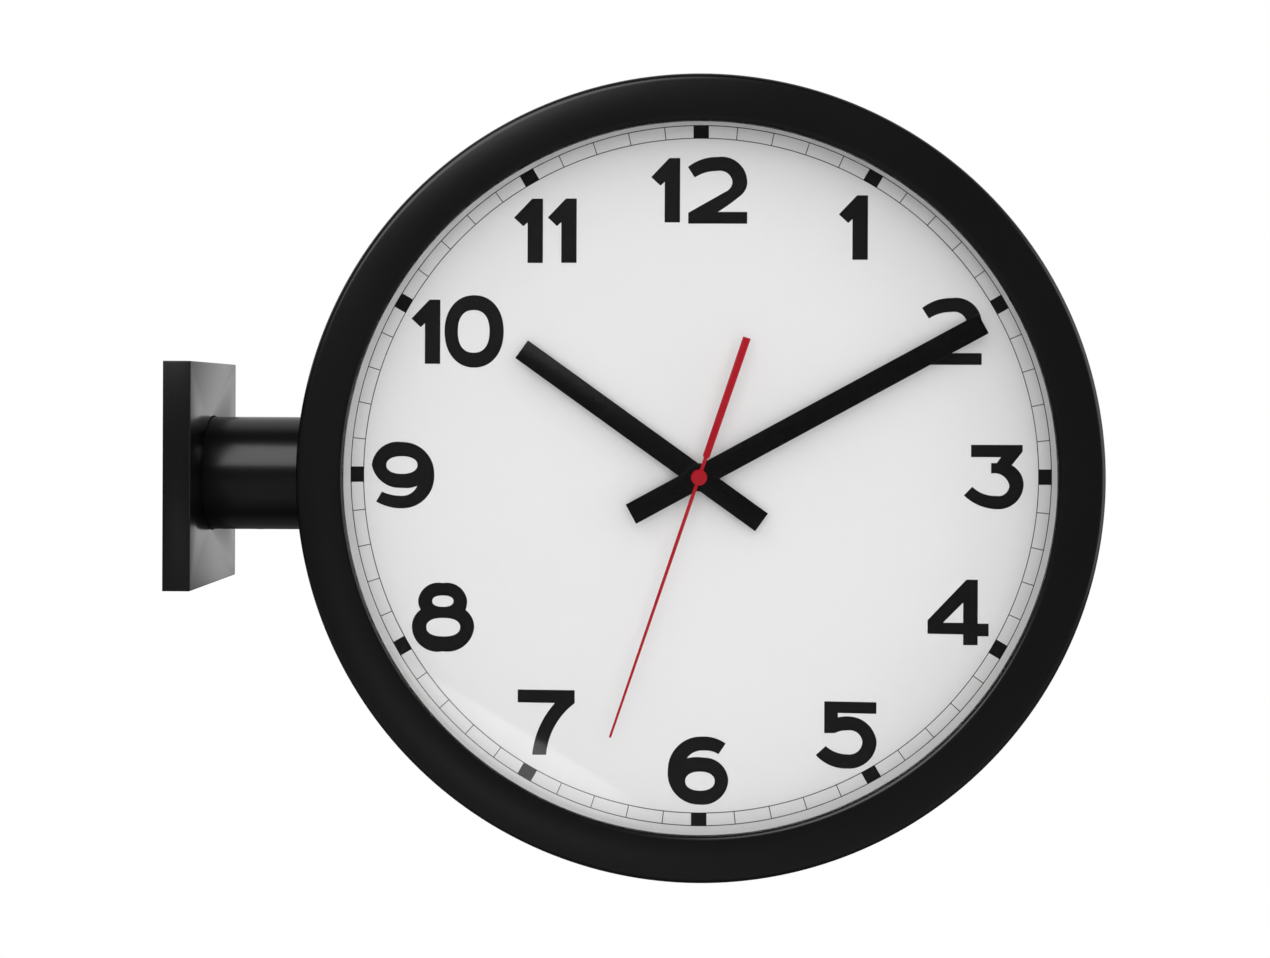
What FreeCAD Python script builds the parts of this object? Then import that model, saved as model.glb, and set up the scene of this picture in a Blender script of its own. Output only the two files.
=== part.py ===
import FreeCAD, Part
import math
import os

from FreeCAD import Vector

# A double sided station clock: a round head with a dial on each side, held out
# from a wall by a round arm. Millimetres, +Z up. The origin is the centre of the
# wall cover's back, on the wall. +X runs out along the arm, and the front dial
# faces -Y. The back of the head is its front, turned half a turn about the
# upright line through the head's centre.

# --- fits and clearances ------------------------------------------------------
SLIDE_GAP = 0.3          # parts that slide or drop into each other
PRESS_GAP = 0.05         # parts that are driven or welded into each other
THREAD_GAP = 0.02        # a screw in its thread
RUNNING_GAP = 0.08       # a turning arbor or tube in its bearing
END_SHAKE = 0.3          # a turning part along its arbor
SHADOW_GAP = 1.0         # parts that only pass near each other

# --- the wall end -------------------------------------------------------------
COVER_SIZE = 100.0       # square wall cover
COVER_DEPTH = 12.0
COVER_WALL = 2.0
COVER_EDGE = 1.0         # rounding of the cover's outer edges
PLATE_THICKNESS = 3.0    # steel bracket plate inside the cover
PLATE_MARGIN = 1.0       # between the bracket plate and the cover's walls
WALL_HOLE_DIAMETER = 6.5
WALL_HOLE_EDGE = 12.0    # from a wall hole's centre to the bracket plate's edge
TAB_WIDTH = 14.0         # tabs on the bracket that the cover screws go into
TAB_THICKNESS = 5.0

# --- the arm ------------------------------------------------------------------
ARM_DIAMETER = 51.0
ARM_WALL = 2.5
SPIGOT_WALL = 4.0
WALL_TO_BEZEL = 57.5     # from the wall to the nearest point of the bezels
BLOCK_LENGTH = 20.0      # end block in the head end of the arm
ARM_BOLT_EDGE = 1.6      # between a bolt's thread and the end block's outside
ARM_BOLT_DIAMETER = 6.0
ARM_BOLT_HEAD = 10.0     # across the flats
ARM_BOLT_HEAD_HEIGHT = 4.0
ARM_BOLT_GRIP = 16.0     # length of thread inside the end block
BOLT_HOLE_GAP = 0.2
SPOT_FACE_GAP = 1.0      # round a bolt head's corners
SET_SCREW_DIAMETER = 6.0
SET_SCREW_SPACING = 16.0
SADDLE_THICKNESS = 3.0
SADDLE_END = 18.0        # from a bolt to the saddle plate's top or bottom edge
SADDLE_SIDE_GAP = 1.8    # between the saddle plate and the flanges for the dials

# --- small countersunk screws -------------------------------------------------
SCREW_DIAMETER = 3.0
SCREW_HEAD_DIAMETER = 5.5
SCREW_HEAD_HEIGHT = 1.65
SCREW_LENGTH = 7.0
SCREW_SOCKET = 2.0       # across the flats
SCREW_SINK = 0.05        # how far a head lies under its surface
SCREW_HOLE_GAP = 0.1

# --- the head -----------------------------------------------------------------
HEAD_DIAMETER = 350.0
BEZEL_SHEET = 2.0
BEZEL_CORNER = 5.0       # outer corner of the bezel
BEZEL_FACE_WIDTH = 18.7
LIP_CORNER = 0.8         # inner corner of the bezel's face
LIP_DEPTH = 6.5
LIP_TAPER = 0.8          # how much the lip draws in over its depth
SKIRT_DEPTH = 22.0
BAND_WALL = 1.5
BAND_GAP = 0.4           # between the bezel's skirt and the band
FLANGE_THICKNESS = 2.0   # flanges in the band that the dials lie on
FLANGE_WIDTH = 13.0
WELD_NUT_DIAMETER = 7.0
WELD_NUT_HEIGHT = 3.5
BEZEL_SCREWS = 4
BEZEL_SCREW_ANGLE = 45.0
LENS_THICKNESS = 2.0
GASKET_WEB = 1.0
GASKET_EDGE = 2.5
GASKET_SHOW_GAP = 1.5    # from the lip's end to the gasket's inner edge
SPACER_DEPTH = 12.5      # from the lens gasket to the dial
SPACER_WALL = 2.0
SPACER_FOOT = 1.5
SPACER_INSET = 6.6       # the foot's width outside the spacer's wall
DIAL_THICKNESS = 1.2
TRACK_INSET = 13.2       # from the spacer's inside to the inner line of the minute track
BACK_GAP = 9.4           # between the two movements' setting knobs

# --- the hands ----------------------------------------------------------------
HOUR_HAND_ANGLE = 305.6      # clockwise from twelve, as the clock stands at rest
MINUTE_HAND_ANGLE = 61.35
SECOND_HAND_ANGLE = 198.7
HOUR_HAND_HEIGHT = 5.5       # from the dial to the back of each hand
MINUTE_HAND_HEIGHT = 8.0
SECOND_HAND_HEIGHT = 10.5
HAND_THICKNESS = 0.8
SECOND_HAND_THICKNESS = 0.6
HAND_HUB_DIAMETER = 12.3
HAND_WIDTH = 9.6             # hour and minute hand
HOUR_HAND_TIP_GAP = 53.0     # from the hand's tip to the minute track
HOUR_HAND_TAIL = 33.8
MINUTE_HAND_TIP_GAP = 8.0
MINUTE_HAND_TAIL = 33.9
SECOND_HAND_TIP_GAP = 29.0
SECOND_HAND_TIP_WIDTH = 1.0
SECOND_HAND_ROOT_WIDTH = 1.7
SECOND_BOSS_DIAMETER = 7.1
SECOND_BOSS_HEIGHT = 2.5
SECOND_BOSS_PROUD = 1.0      # in front of the second hand
WEIGHT_START = 8.9           # the second hand's counterweight
WEIGHT_END = 64.5
WEIGHT_INNER_WIDTH = 3.1
WEIGHT_OUTER_WIDTH = 3.5
WEIGHT_SHOULDER = 0.8        # length of the slope where it widens

# --- the movements ------------------------------------------------------------
CASE_HEIGHT = 56.0
CASE_WALL = 1.2
CASE_GASKET_THICKNESS = 0.8
CASE_GASKET_DIAMETER = 26.0
BUSH_DIAMETER = 8.0
BUSH_PROUD = 0.5             # in front of the fixing nut
NUT_FLATS = 10.5
NUT_THICKNESS = 2.0
WASHER_DIAMETER = 11.6
WASHER_THICKNESS = 0.5
CELL_DIAMETER = 14.1
CELL_LENGTH = 50.2           # with its button
CELL_BUTTON_DIAMETER = 5.5
CELL_BUTTON_LENGTH = 1.0
CELL_GAP = 0.25
CELL_END_ROOM = 1.7          # for a contact, between the cell's end and the case's wall
CELL_WINDOW_LIP = 2.0        # what the cover keeps over the cell at each edge
CONTACT_THICKNESS = 0.3
CONTACT_WIDTH = 11.0
CONTACT_PAD_DIAMETER = 5.0
ARBOR_DIAMETER = 1.0
POST_DIAMETER = 1.4          # fixed posts that wheels turn on
MINUTE_TUBE_DIAMETER = 3.2
HOUR_TUBE_DIAMETER = 5.0
BOSS_WALL = 0.7              # round a blind bearing hole
BOSS_FLOOR = 1.0             # under a blind bearing hole
LAYER_START = 1.5            # from the case's inside to the middle of the hour wheel
LAYER_PITCH = 1.95           # between the layers of the wheel train
WHEEL_THICKNESS = 0.9
PINION_THICKNESS = 1.3
HUB_WALL = 0.8               # a wheel's hub round its bore
CLIP_WIDTH = 8.0
CLIP_THICKNESS = 1.0
CLIP_LENGTH = 7.0

# teeth and modules of the wheel train
CANNON_TEETH = 12
MOTION_WHEEL_TEETH = 36
MOTION_MODULE = 0.5
MOTION_PINION_TEETH = 12
HOUR_WHEEL_TEETH = 48
HOUR_MODULE = 0.4
KNOB_PINION_TEETH = 10
SECOND_PINION_TEETH = 8
THIRD_WHEEL_TEETH = 60
THIRD_MODULE = 0.36
THIRD_PINION_TEETH = 8
CENTRE_WHEEL_TEETH = 64
CENTRE_MODULE = 0.34
SECOND_WHEEL_TEETH = 50
INTERMEDIATE_PINION_TEETH = 10
SECOND_MODULE = 0.32
INTERMEDIATE_WHEEL_TEETH = 48
ROTOR_PINION_TEETH = 8
ROTOR_MODULE = 0.3

# directions between wheel axes, anticlockwise from +X as seen from the dial
MOTION_DIRECTION = 30.0
KNOB_DIRECTION = 45.0        # from the motion wheel
THIRD_DIRECTION = 150.0
INTERMEDIATE_DIRECTION = 75.0
ROTOR_DIRECTION = 100.0      # from the intermediate wheel

# tooth shapes, in modules and in shares of the tooth pitch
WHEEL_ADDENDUM = 0.75
WHEEL_DEDENDUM = 1.1
WHEEL_HALF_TOOTH = 0.20
WHEEL_TIP_SLOPE = 0.42
WHEEL_ROOT_SLOPE = 0.1
PINION_ADDENDUM = 0.6
PINION_DEDENDUM = 1.15
PINION_HALF_TOOTH = 0.17
PINION_TIP_SLOPE = 0.35
PINION_ROOT_SLOPE = 0.0

KNOB_DIAMETER = 12.0
KNOB_HEIGHT = 3.0
KNOB_ARBOR_DIAMETER = 2.0
KNOB_FLUTES = 12
KNOB_FLUTE_DIAMETER = 1.6
MAGNET_DIAMETER = 4.2
MAGNET_LENGTH = 2.4
STATOR_AIR_GAP = 0.5
STATOR_THICKNESS = 0.8
STATOR_LENGTH = 30.0
STATOR_LEG = 3.5
STATOR_MARGIN = 0.8          # steel above and below the rotor's hole
COIL_DIAMETER = 5.2
COIL_LENGTH = 20.0
COIL_FLANGE = 0.8
CORE_HEIGHT = 1.6
CORE_THICKNESS = 1.0
BOARD_WIDTH = 14.0
BOARD_HEIGHT = 20.0
BOARD_THICKNESS = 0.8
BOARD_POST_DIAMETER = 2.4
BOARD_POST_INSET = 2.5

# --- worked out from the sizes above ------------------------------------------
HEAD_RADIUS = HEAD_DIAMETER / 2
HEAD_X = WALL_TO_BEZEL + HEAD_RADIUS
FACE_RADIUS = HEAD_RADIUS - BEZEL_FACE_WIDTH
OPENING_RADIUS = FACE_RADIUS - LIP_TAPER
SKIRT_RADIUS = HEAD_RADIUS - BEZEL_SHEET
BAND_RADIUS = SKIRT_RADIUS - BAND_GAP
BAND_INNER_RADIUS = BAND_RADIUS - BAND_WALL
GASKET_RADIUS = SKIRT_RADIUS - SLIDE_GAP
LENS_RADIUS = GASKET_RADIUS - GASKET_EDGE
DIAL_RADIUS = BAND_INNER_RADIUS - SLIDE_GAP
SPACER_RADIUS = DIAL_RADIUS - SPACER_INSET
SPACER_INNER_RADIUS = SPACER_RADIUS - SPACER_WALL
TRACK_RADIUS = SPACER_INNER_RADIUS - TRACK_INSET

# depths behind the front plane of a bezel
GASKET_FRONT = LIP_DEPTH
LENS_FRONT = GASKET_FRONT + GASKET_WEB
LENS_BACK = LENS_FRONT + LENS_THICKNESS
GASKET_BACK = LENS_BACK + GASKET_WEB
BAND_FRONT = GASKET_BACK + SHADOW_GAP
DIAL_FRONT = GASKET_BACK + SPACER_DEPTH
DIAL_BACK = DIAL_FRONT + DIAL_THICKNESS
BEZEL_SCREW_DEPTH = (BAND_FRONT + SKIRT_DEPTH) / 2
CASE_FRONT = DIAL_BACK + CASE_GASKET_THICKNESS
CASE_FLOOR = CASE_FRONT + CASE_WALL
LAYER = [CASE_FLOOR + LAYER_START + number * LAYER_PITCH for number in range(6)]
TRAIN_END = LAYER[5] + PINION_THICKNESS / 2 + END_SHAKE + BOSS_FLOOR
CASE_BACK = max(CASE_FLOOR + CELL_DIAMETER + 2 * CELL_GAP, TRAIN_END)
COVER_BACK = CASE_BACK + CASE_WALL
KNOB_FRONT = COVER_BACK + END_SHAKE
KNOB_BACK = KNOB_FRONT + KNOB_HEIGHT
HEAD_DEPTH = 2 * KNOB_BACK + BACK_GAP

WASHER_FRONT = DIAL_FRONT - WASHER_THICKNESS
NUT_FRONT = WASHER_FRONT - NUT_THICKNESS
BUSH_FRONT = NUT_FRONT - BUSH_PROUD
HOUR_HAND_BACK = DIAL_FRONT - HOUR_HAND_HEIGHT
MINUTE_HAND_BACK = DIAL_FRONT - MINUTE_HAND_HEIGHT
SECOND_HAND_BACK = DIAL_FRONT - SECOND_HAND_HEIGHT
SECOND_BOSS_FRONT = SECOND_HAND_BACK - SECOND_HAND_THICKNESS - SECOND_BOSS_PROUD

# the movement's case and its cell, measured right and up from the middle of the dial
CASE_WIDTH = CELL_LENGTH + 2 * (CELL_END_ROOM + CASE_WALL)
CELL_MIDDLE_UP = -CASE_HEIGHT / 2 + CASE_WALL + CELL_GAP + CELL_DIAMETER / 2
CELL_MIDDLE_DEPTH = CASE_FLOOR + CELL_GAP + CELL_DIAMETER / 2

ARM_INNER_RADIUS = ARM_DIAMETER / 2 - ARM_WALL
ARM_BOLT_RADIUS = ARM_INNER_RADIUS - ARM_BOLT_EDGE - ARM_BOLT_DIAMETER / 2
ARM_BOLT_SPACING = ARM_BOLT_RADIUS * math.sqrt(2)
SADDLE_HEIGHT = ARM_BOLT_SPACING + 2 * SADDLE_END
SADDLE_WIDTH = HEAD_DEPTH - 2 * (DIAL_BACK + FLANGE_THICKNESS + SADDLE_SIDE_GAP)
PLATE_SIZE = COVER_SIZE - 2 * (COVER_WALL + PLATE_MARGIN)
WALL_HOLE_SPACING = PLATE_SIZE - 2 * WALL_HOLE_EDGE
BLOCK_START = HEAD_X - BAND_RADIUS - BLOCK_LENGTH
COVER_SCREW_X = (PLATE_THICKNESS + COVER_DEPTH - COVER_WALL) / 2

HEAD_AXIS = Vector(0, 1, 0)
SIDES = ("front", "rear")


# --- shapes that repeat -------------------------------------------------------
def disc(radius, start, end, at=(0, 0)):
    """A round bar along the head's axis, from one depth to another."""
    return Part.makeCylinder(radius, end - start, Vector(at[0], start, at[1]), HEAD_AXIS)


def tube(outer, inner, start, end, at=(0, 0)):
    return disc(outer, start, end, at).cut(disc(inner, start, end, at))


def block(left, right, start, end, low, high):
    """A box by its sides: right of the middle, depth and height."""
    return Part.makeBox(right - left, end - start, high - low, Vector(left, start, low))


def joined(first, *others):
    return first.multiFuse(list(others)).removeSplitter()


def polygon_plate(points, start, end):
    """A flat plate with a straight-sided outline, given right and up."""
    corners = [Vector(right, start, up) for right, up in points]
    outline = Part.makePolygon(corners + corners[:1])
    return Part.Face(outline).extrude(Vector(0, end - start, 0))


def corner_cut(before, corner, after, radius):
    """Start, middle and end of the arc that rounds a corner."""
    inward = (before - corner).normalize()
    outward = (after - corner).normalize()
    half = inward.getAngle(outward) / 2
    reach = radius / math.tan(half)
    middle_way = (inward + outward).normalize()
    centre = corner + middle_way * (radius / math.sin(half))
    return corner + inward * reach, centre - middle_way * radius, corner + outward * reach


def ring_from_section(section):
    """A ring turned from a section of (radius, depth, corner rounding) points."""
    points = [Vector(radius, depth, 0) for radius, depth, rounding in section]
    count = len(points)
    edges = []
    last = None
    first = None
    for index, (radius, depth, rounding) in enumerate(section):
        corner = points[index]
        start = end = corner
        arc = None
        if rounding > 0:
            after = points[(index + 1) % count]
            start, middle, end = corner_cut(points[index - 1], corner, after, rounding)
            arc = Part.Arc(start, middle, end).toShape()
        if last is None:
            first = start
        else:
            edges.append(Part.LineSegment(last, start).toShape())
        if arc is not None:
            edges.append(arc)
        last = end
    edges.append(Part.LineSegment(last, first).toShape())
    face = Part.Face(Part.Wire(edges))
    return face.revolve(Vector(0, 0, 0), HEAD_AXIS, 360)


def polar(distance, direction, start=(0, 0)):
    angle = math.radians(direction)
    return (start[0] + distance * math.cos(angle), start[1] + distance * math.sin(angle))


def hexagon_plate(flats, start, end, at=(0, 0)):
    corners = [polar(flats / math.sqrt(3), 60 * index, at) for index in range(6)]
    return polygon_plate(corners, start, end)


def to_side(shape, side):
    """Moves a shape from a dial's own frame to its side of the head."""
    shape.translate(Vector(HEAD_X, -HEAD_DEPTH / 2, 0))
    if side == "rear":
        shape.rotate(Vector(HEAD_X, 0, 0), Vector(0, 0, 1), 180)
    return shape


def both_sides(make):
    """One group with a copy of a shape for each dial."""
    return Part.makeCompound([to_side(make(), side) for side in SIDES])


# --- gears --------------------------------------------------------------------
def centre_distance(teeth, other_teeth, module):
    return (teeth + other_teeth) * module / 2


def mesh_phase(direction, phase, teeth, other_teeth):
    """Turns a second gear so that its gaps take the first gear's teeth."""
    share = ((direction - phase) % (360 / teeth)) / (360 / teeth)
    return direction + 180 + (share - 0.5) * 360 / other_teeth


def toothed_plate(teeth, module, phase, middle, thickness, at, shape):
    addendum, dedendum, half_tooth, tip_slope, root_slope = shape
    pitch_radius = teeth * module / 2
    pitch = 360 / teeth
    half = half_tooth * pitch
    root = pitch_radius - dedendum * module
    tip = pitch_radius + addendum * module
    root_half = half + math.degrees(root_slope * dedendum * module / pitch_radius)
    tip_half = half - math.degrees(tip_slope * addendum * module / pitch_radius)
    flank = ((root, root_half), (pitch_radius, half), (tip, tip_half))
    points = []
    for number in range(teeth):
        tooth = phase + number * pitch
        for radius, turn in flank:
            points.append(polar(radius, tooth - turn, at))
        for radius, turn in reversed(flank):
            points.append(polar(radius, tooth + turn, at))
    return polygon_plate(points, middle - thickness / 2, middle + thickness / 2)


def wheel(teeth, module, phase, middle, at):
    shape = (WHEEL_ADDENDUM, WHEEL_DEDENDUM, WHEEL_HALF_TOOTH, WHEEL_TIP_SLOPE, WHEEL_ROOT_SLOPE)
    return toothed_plate(teeth, module, phase, middle, WHEEL_THICKNESS, at, shape)


def pinion(teeth, module, phase, middle, at):
    shape = (PINION_ADDENDUM, PINION_DEDENDUM, PINION_HALF_TOOTH, PINION_TIP_SLOPE, PINION_ROOT_SLOPE)
    return toothed_plate(teeth, module, phase, middle, PINION_THICKNESS, at, shape)


CENTRE_AT = (0.0, 0.0)
MOTION_AT = polar(centre_distance(CANNON_TEETH, MOTION_WHEEL_TEETH, MOTION_MODULE), MOTION_DIRECTION)
KNOB_AT = polar(
    centre_distance(MOTION_WHEEL_TEETH, KNOB_PINION_TEETH, MOTION_MODULE), KNOB_DIRECTION, MOTION_AT
)
THIRD_AT = polar(
    centre_distance(SECOND_PINION_TEETH, THIRD_WHEEL_TEETH, THIRD_MODULE), THIRD_DIRECTION
)
INTERMEDIATE_AT = polar(
    centre_distance(SECOND_WHEEL_TEETH, INTERMEDIATE_PINION_TEETH, SECOND_MODULE),
    INTERMEDIATE_DIRECTION,
)
ROTOR_AT = polar(
    centre_distance(INTERMEDIATE_WHEEL_TEETH, ROTOR_PINION_TEETH, ROTOR_MODULE),
    ROTOR_DIRECTION,
    INTERMEDIATE_AT,
)
STATOR_LOW = ROTOR_AT[1] - MAGNET_DIAMETER / 2 - STATOR_AIR_GAP - STATOR_MARGIN
STATOR_HIGH = ROTOR_AT[1] + MAGNET_DIAMETER / 2 + STATOR_AIR_GAP + STATOR_MARGIN
COIL_UP = STATOR_HIGH + SLIDE_GAP + COIL_DIAMETER / 2
LEG_HIGH = COIL_UP + CORE_HEIGHT / 2
STATOR_FRONT = LAYER[2] - STATOR_THICKNESS / 2
STATOR_BACK = LAYER[2] + STATOR_THICKNESS / 2


# --- screws -------------------------------------------------------------------
def countersunk_screw(length):
    """A countersunk screw that points down, with the top of its head at the origin."""
    head = Part.makeCone(
        SCREW_DIAMETER / 2, SCREW_HEAD_DIAMETER / 2, SCREW_HEAD_HEIGHT, Vector(0, 0, -SCREW_HEAD_HEIGHT)
    )
    shank = Part.makeCylinder(SCREW_DIAMETER / 2, length, Vector(0, 0, -length))
    socket = hexagon_plate(SCREW_SOCKET, 0, SCREW_HEAD_HEIGHT / 2)
    socket.rotate(Vector(0, 0, 0), Vector(1, 0, 0), -90)
    return joined(head, shank).cut(socket)


def countersunk_hole(depth):
    """What the screw above takes out of the wall that it holds."""
    outer = SCREW_HEAD_DIAMETER / 2 + PRESS_GAP
    inner = SCREW_DIAMETER / 2 + SCREW_HOLE_GAP
    cone = Part.makeCone(
        inner, outer, SCREW_HEAD_HEIGHT + PRESS_GAP, Vector(0, 0, -SCREW_HEAD_HEIGHT - PRESS_GAP)
    )
    mouth = Part.makeCylinder(outer, SHADOW_GAP, Vector(0, 0, 0))
    through = Part.makeCylinder(inner, depth, Vector(0, 0, -depth))
    return joined(cone, mouth, through)


def screw_thread():
    """The threaded hole that a small screw goes into, long enough for any of them."""
    depth = 3 * SCREW_LENGTH
    return Part.makeCylinder(SCREW_DIAMETER / 2 + THREAD_GAP, depth, Vector(0, 0, -depth))


def round_the_bezel(shape):
    """Copies of a shape that points down, at each bezel screw of one dial."""
    copies = []
    for number in range(BEZEL_SCREWS):
        copy = shape.copy()
        copy.translate(Vector(0, BEZEL_SCREW_DEPTH, HEAD_RADIUS - SCREW_SINK))
        turn = BEZEL_SCREW_ANGLE + number * 360 / BEZEL_SCREWS
        copy.rotate(Vector(0, 0, 0), HEAD_AXIS, turn)
        copies.append(copy)
    return copies


def at_the_cover(shape):
    """Copies of a shape that points down, at the cover's top and bottom screws."""
    top = shape.copy()
    top.translate(Vector(COVER_SCREW_X, 0, COVER_SIZE / 2 - SCREW_SINK))
    bottom = top.copy()
    bottom.rotate(Vector(0, 0, 0), Vector(1, 0, 0), 180)
    return [top, bottom]


# --- the wall end -------------------------------------------------------------
def x_bar(radius, start, end, y=0.0, z=0.0):
    return Part.makeCylinder(radius, end - start, Vector(start, y, z), Vector(1, 0, 0))


def square_plate(size, start, end):
    return Part.makeBox(end - start, size, size, Vector(start, -size / 2, -size / 2))


def band_cylinder(radius):
    """The head's round outside, long enough to trim the arm."""
    return Part.makeCylinder(radius, 2 * ARM_DIAMETER, Vector(HEAD_X, -ARM_DIAMETER, 0), HEAD_AXIS)


def wall_holes():
    half = WALL_HOLE_SPACING / 2
    return [(y, z) for y in (-half, half) for z in (-half, half)]


def set_screw_places():
    middle = (COVER_DEPTH + BLOCK_START) / 2
    return (middle - SET_SCREW_SPACING / 2, middle + SET_SCREW_SPACING / 2)


def set_screw_bore(radius, x, top, bottom):
    return Part.makeCylinder(radius, top - bottom, Vector(x, 0, bottom))


def make_wall_bracket():
    plate = square_plate(PLATE_SIZE, 0, PLATE_THICKNESS)
    for y, z in wall_holes():
        plate = plate.cut(x_bar(WALL_HOLE_DIAMETER / 2, 0, PLATE_THICKNESS, y, z))
    outer = ARM_INNER_RADIUS - PRESS_GAP
    end = BLOCK_START - SLIDE_GAP
    spigot = x_bar(outer, 0, end).cut(x_bar(outer - SPIGOT_WALL, PLATE_THICKNESS, end))
    tab_end = COVER_DEPTH - COVER_WALL - SLIDE_GAP
    tab_outside = COVER_SIZE / 2 - COVER_WALL - SLIDE_GAP
    tabs = []
    for sign in (1, -1):
        low = tab_outside - TAB_THICKNESS if sign > 0 else -tab_outside
        corner = Vector(0, -TAB_WIDTH / 2, low)
        tabs.append(Part.makeBox(tab_end, TAB_WIDTH, TAB_THICKNESS, corner))
    bracket = joined(plate, spigot, *tabs)
    for cutter in at_the_cover(screw_thread()):
        bracket = bracket.cut(cutter)
    for x in set_screw_places():
        bore = set_screw_bore(SET_SCREW_DIAMETER / 2 + THREAD_GAP, x, 0, -ARM_DIAMETER)
        bracket = bracket.cut(bore)
    return bracket


def make_wall_cover():
    outside = square_plate(COVER_SIZE, 0, COVER_DEPTH)
    outer_edges = []
    for edge in outside.Edges:
        on_wall = all(abs(vertex.Point.x) < PRESS_GAP for vertex in edge.Vertexes)
        if not on_wall:
            outer_edges.append(edge)
    outside = outside.makeFillet(COVER_EDGE, outer_edges)
    inside = square_plate(COVER_SIZE - 2 * COVER_WALL, 0, COVER_DEPTH - COVER_WALL)
    arm_hole = x_bar(ARM_DIAMETER / 2 + SLIDE_GAP, 0, COVER_DEPTH)
    cover = outside.cut(inside).cut(arm_hole)
    for cutter in at_the_cover(countersunk_hole(SCREW_HEAD_HEIGHT + COVER_WALL)):
        cover = cover.cut(cutter)
    return cover


def make_cover_screws():
    return Part.makeCompound(at_the_cover(countersunk_screw(SCREW_LENGTH)))


def make_arm_tube():
    arm = x_bar(ARM_DIAMETER / 2, PLATE_THICKNESS, HEAD_X)
    arm = arm.cut(x_bar(ARM_INNER_RADIUS, PLATE_THICKNESS, HEAD_X))
    arm = arm.cut(band_cylinder(BAND_RADIUS))
    for x in set_screw_places():
        arm = arm.cut(set_screw_bore(SET_SCREW_DIAMETER / 2 + THREAD_GAP, x, 0, -ARM_DIAMETER))
    return arm


def make_arm_set_screws():
    bottom = -ARM_DIAMETER / 2 + PRESS_GAP
    top = -(ARM_INNER_RADIUS - PRESS_GAP - SPIGOT_WALL)
    screws = []
    for x in set_screw_places():
        screw = set_screw_bore(SET_SCREW_DIAMETER / 2, x, top, bottom)
        socket = hexagon_plate(SET_SCREW_DIAMETER / 2, 0, SET_SCREW_DIAMETER / 2)
        socket.rotate(Vector(0, 0, 0), Vector(1, 0, 0), 90)
        socket.translate(Vector(x, 0, bottom))
        screws.append(screw.cut(socket))
    return Part.makeCompound(screws)


def arm_bolt_places():
    half = ARM_BOLT_SPACING / 2
    return [(y, z) for y in (-half, half) for z in (-half, half)]


def spot_face_x():
    return HEAD_X - BAND_INNER_RADIUS + SADDLE_THICKNESS - SLIDE_GAP


def make_arm_end_block():
    bar = x_bar(ARM_INNER_RADIUS - PRESS_GAP, BLOCK_START, HEAD_X).cut(band_cylinder(BAND_RADIUS))
    for y, z in arm_bolt_places():
        start = spot_face_x() - SADDLE_THICKNESS - BAND_WALL - ARM_BOLT_GRIP
        bar = bar.cut(x_bar(ARM_BOLT_DIAMETER / 2 + THREAD_GAP, start, HEAD_X, y, z))
    return bar


def make_saddle_plate():
    ring = band_cylinder(BAND_INNER_RADIUS).cut(band_cylinder(BAND_INNER_RADIUS - SADDLE_THICKNESS))
    corner = Vector(0, -SADDLE_WIDTH / 2, -SADDLE_HEIGHT / 2)
    plate = ring.common(Part.makeBox(HEAD_X, SADDLE_WIDTH, SADDLE_HEIGHT, corner))
    spot_radius = ARM_BOLT_HEAD / math.sqrt(3) + SPOT_FACE_GAP
    for y, z in arm_bolt_places():
        plate = plate.cut(x_bar(ARM_BOLT_DIAMETER / 2 + BOLT_HOLE_GAP, 0, HEAD_X, y, z))
        plate = plate.cut(x_bar(spot_radius, spot_face_x(), HEAD_X, y, z))
    return plate


def make_arm_bolts():
    bolts = []
    start = spot_face_x() - SADDLE_THICKNESS - BAND_WALL - ARM_BOLT_GRIP + SLIDE_GAP
    for y, z in arm_bolt_places():
        shank = x_bar(ARM_BOLT_DIAMETER / 2, start, spot_face_x(), y, z)
        head = hexagon_plate(ARM_BOLT_HEAD, 0, ARM_BOLT_HEAD_HEIGHT)
        head.rotate(Vector(0, 0, 0), Vector(0, 0, 1), -90)
        head.translate(Vector(spot_face_x(), y, z))
        bolts.append(joined(shank, head))
    return Part.makeCompound(bolts)


# --- the head -----------------------------------------------------------------
def weld_nut():
    """A nut that points down, at the depth under a bezel screw's head."""
    top = -(HEAD_RADIUS - SCREW_SINK - BAND_INNER_RADIUS) + BAND_WALL / 2
    height = WELD_NUT_HEIGHT + BAND_WALL / 2
    return Part.makeCylinder(WELD_NUT_DIAMETER / 2, height, Vector(0, 0, top - height))


def make_head_shell():
    front = BAND_FRONT
    back = HEAD_DEPTH - BAND_FRONT
    band = tube(BAND_RADIUS, BAND_INNER_RADIUS, front, back)
    inner = BAND_INNER_RADIUS - FLANGE_WIDTH
    pieces = []
    for start in (DIAL_BACK, HEAD_DEPTH - DIAL_BACK - FLANGE_THICKNESS):
        pieces.append(tube(BAND_RADIUS - BAND_WALL / 2, inner, start, start + FLANGE_THICKNESS))
    nuts = round_the_bezel(weld_nut())
    threads = round_the_bezel(screw_thread())
    for shape in list(nuts):
        nuts.append(other_side(shape))
    for shape in list(threads):
        threads.append(other_side(shape))
    shell = joined(band, *pieces, *nuts)
    shell = shell.cut(Part.makeCompound(threads))
    shell.translate(Vector(HEAD_X, -HEAD_DEPTH / 2, 0))
    for y, z in arm_bolt_places():
        shell = shell.cut(x_bar(ARM_BOLT_DIAMETER / 2 + BOLT_HOLE_GAP, 0, HEAD_X, y, z))
    return shell


def other_side(shape):
    """The same shape for the other dial, in the first dial's frame."""
    copy = shape.copy()
    copy.rotate(Vector(0, HEAD_DEPTH / 2, 0), Vector(0, 0, 1), 180)
    return copy


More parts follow.
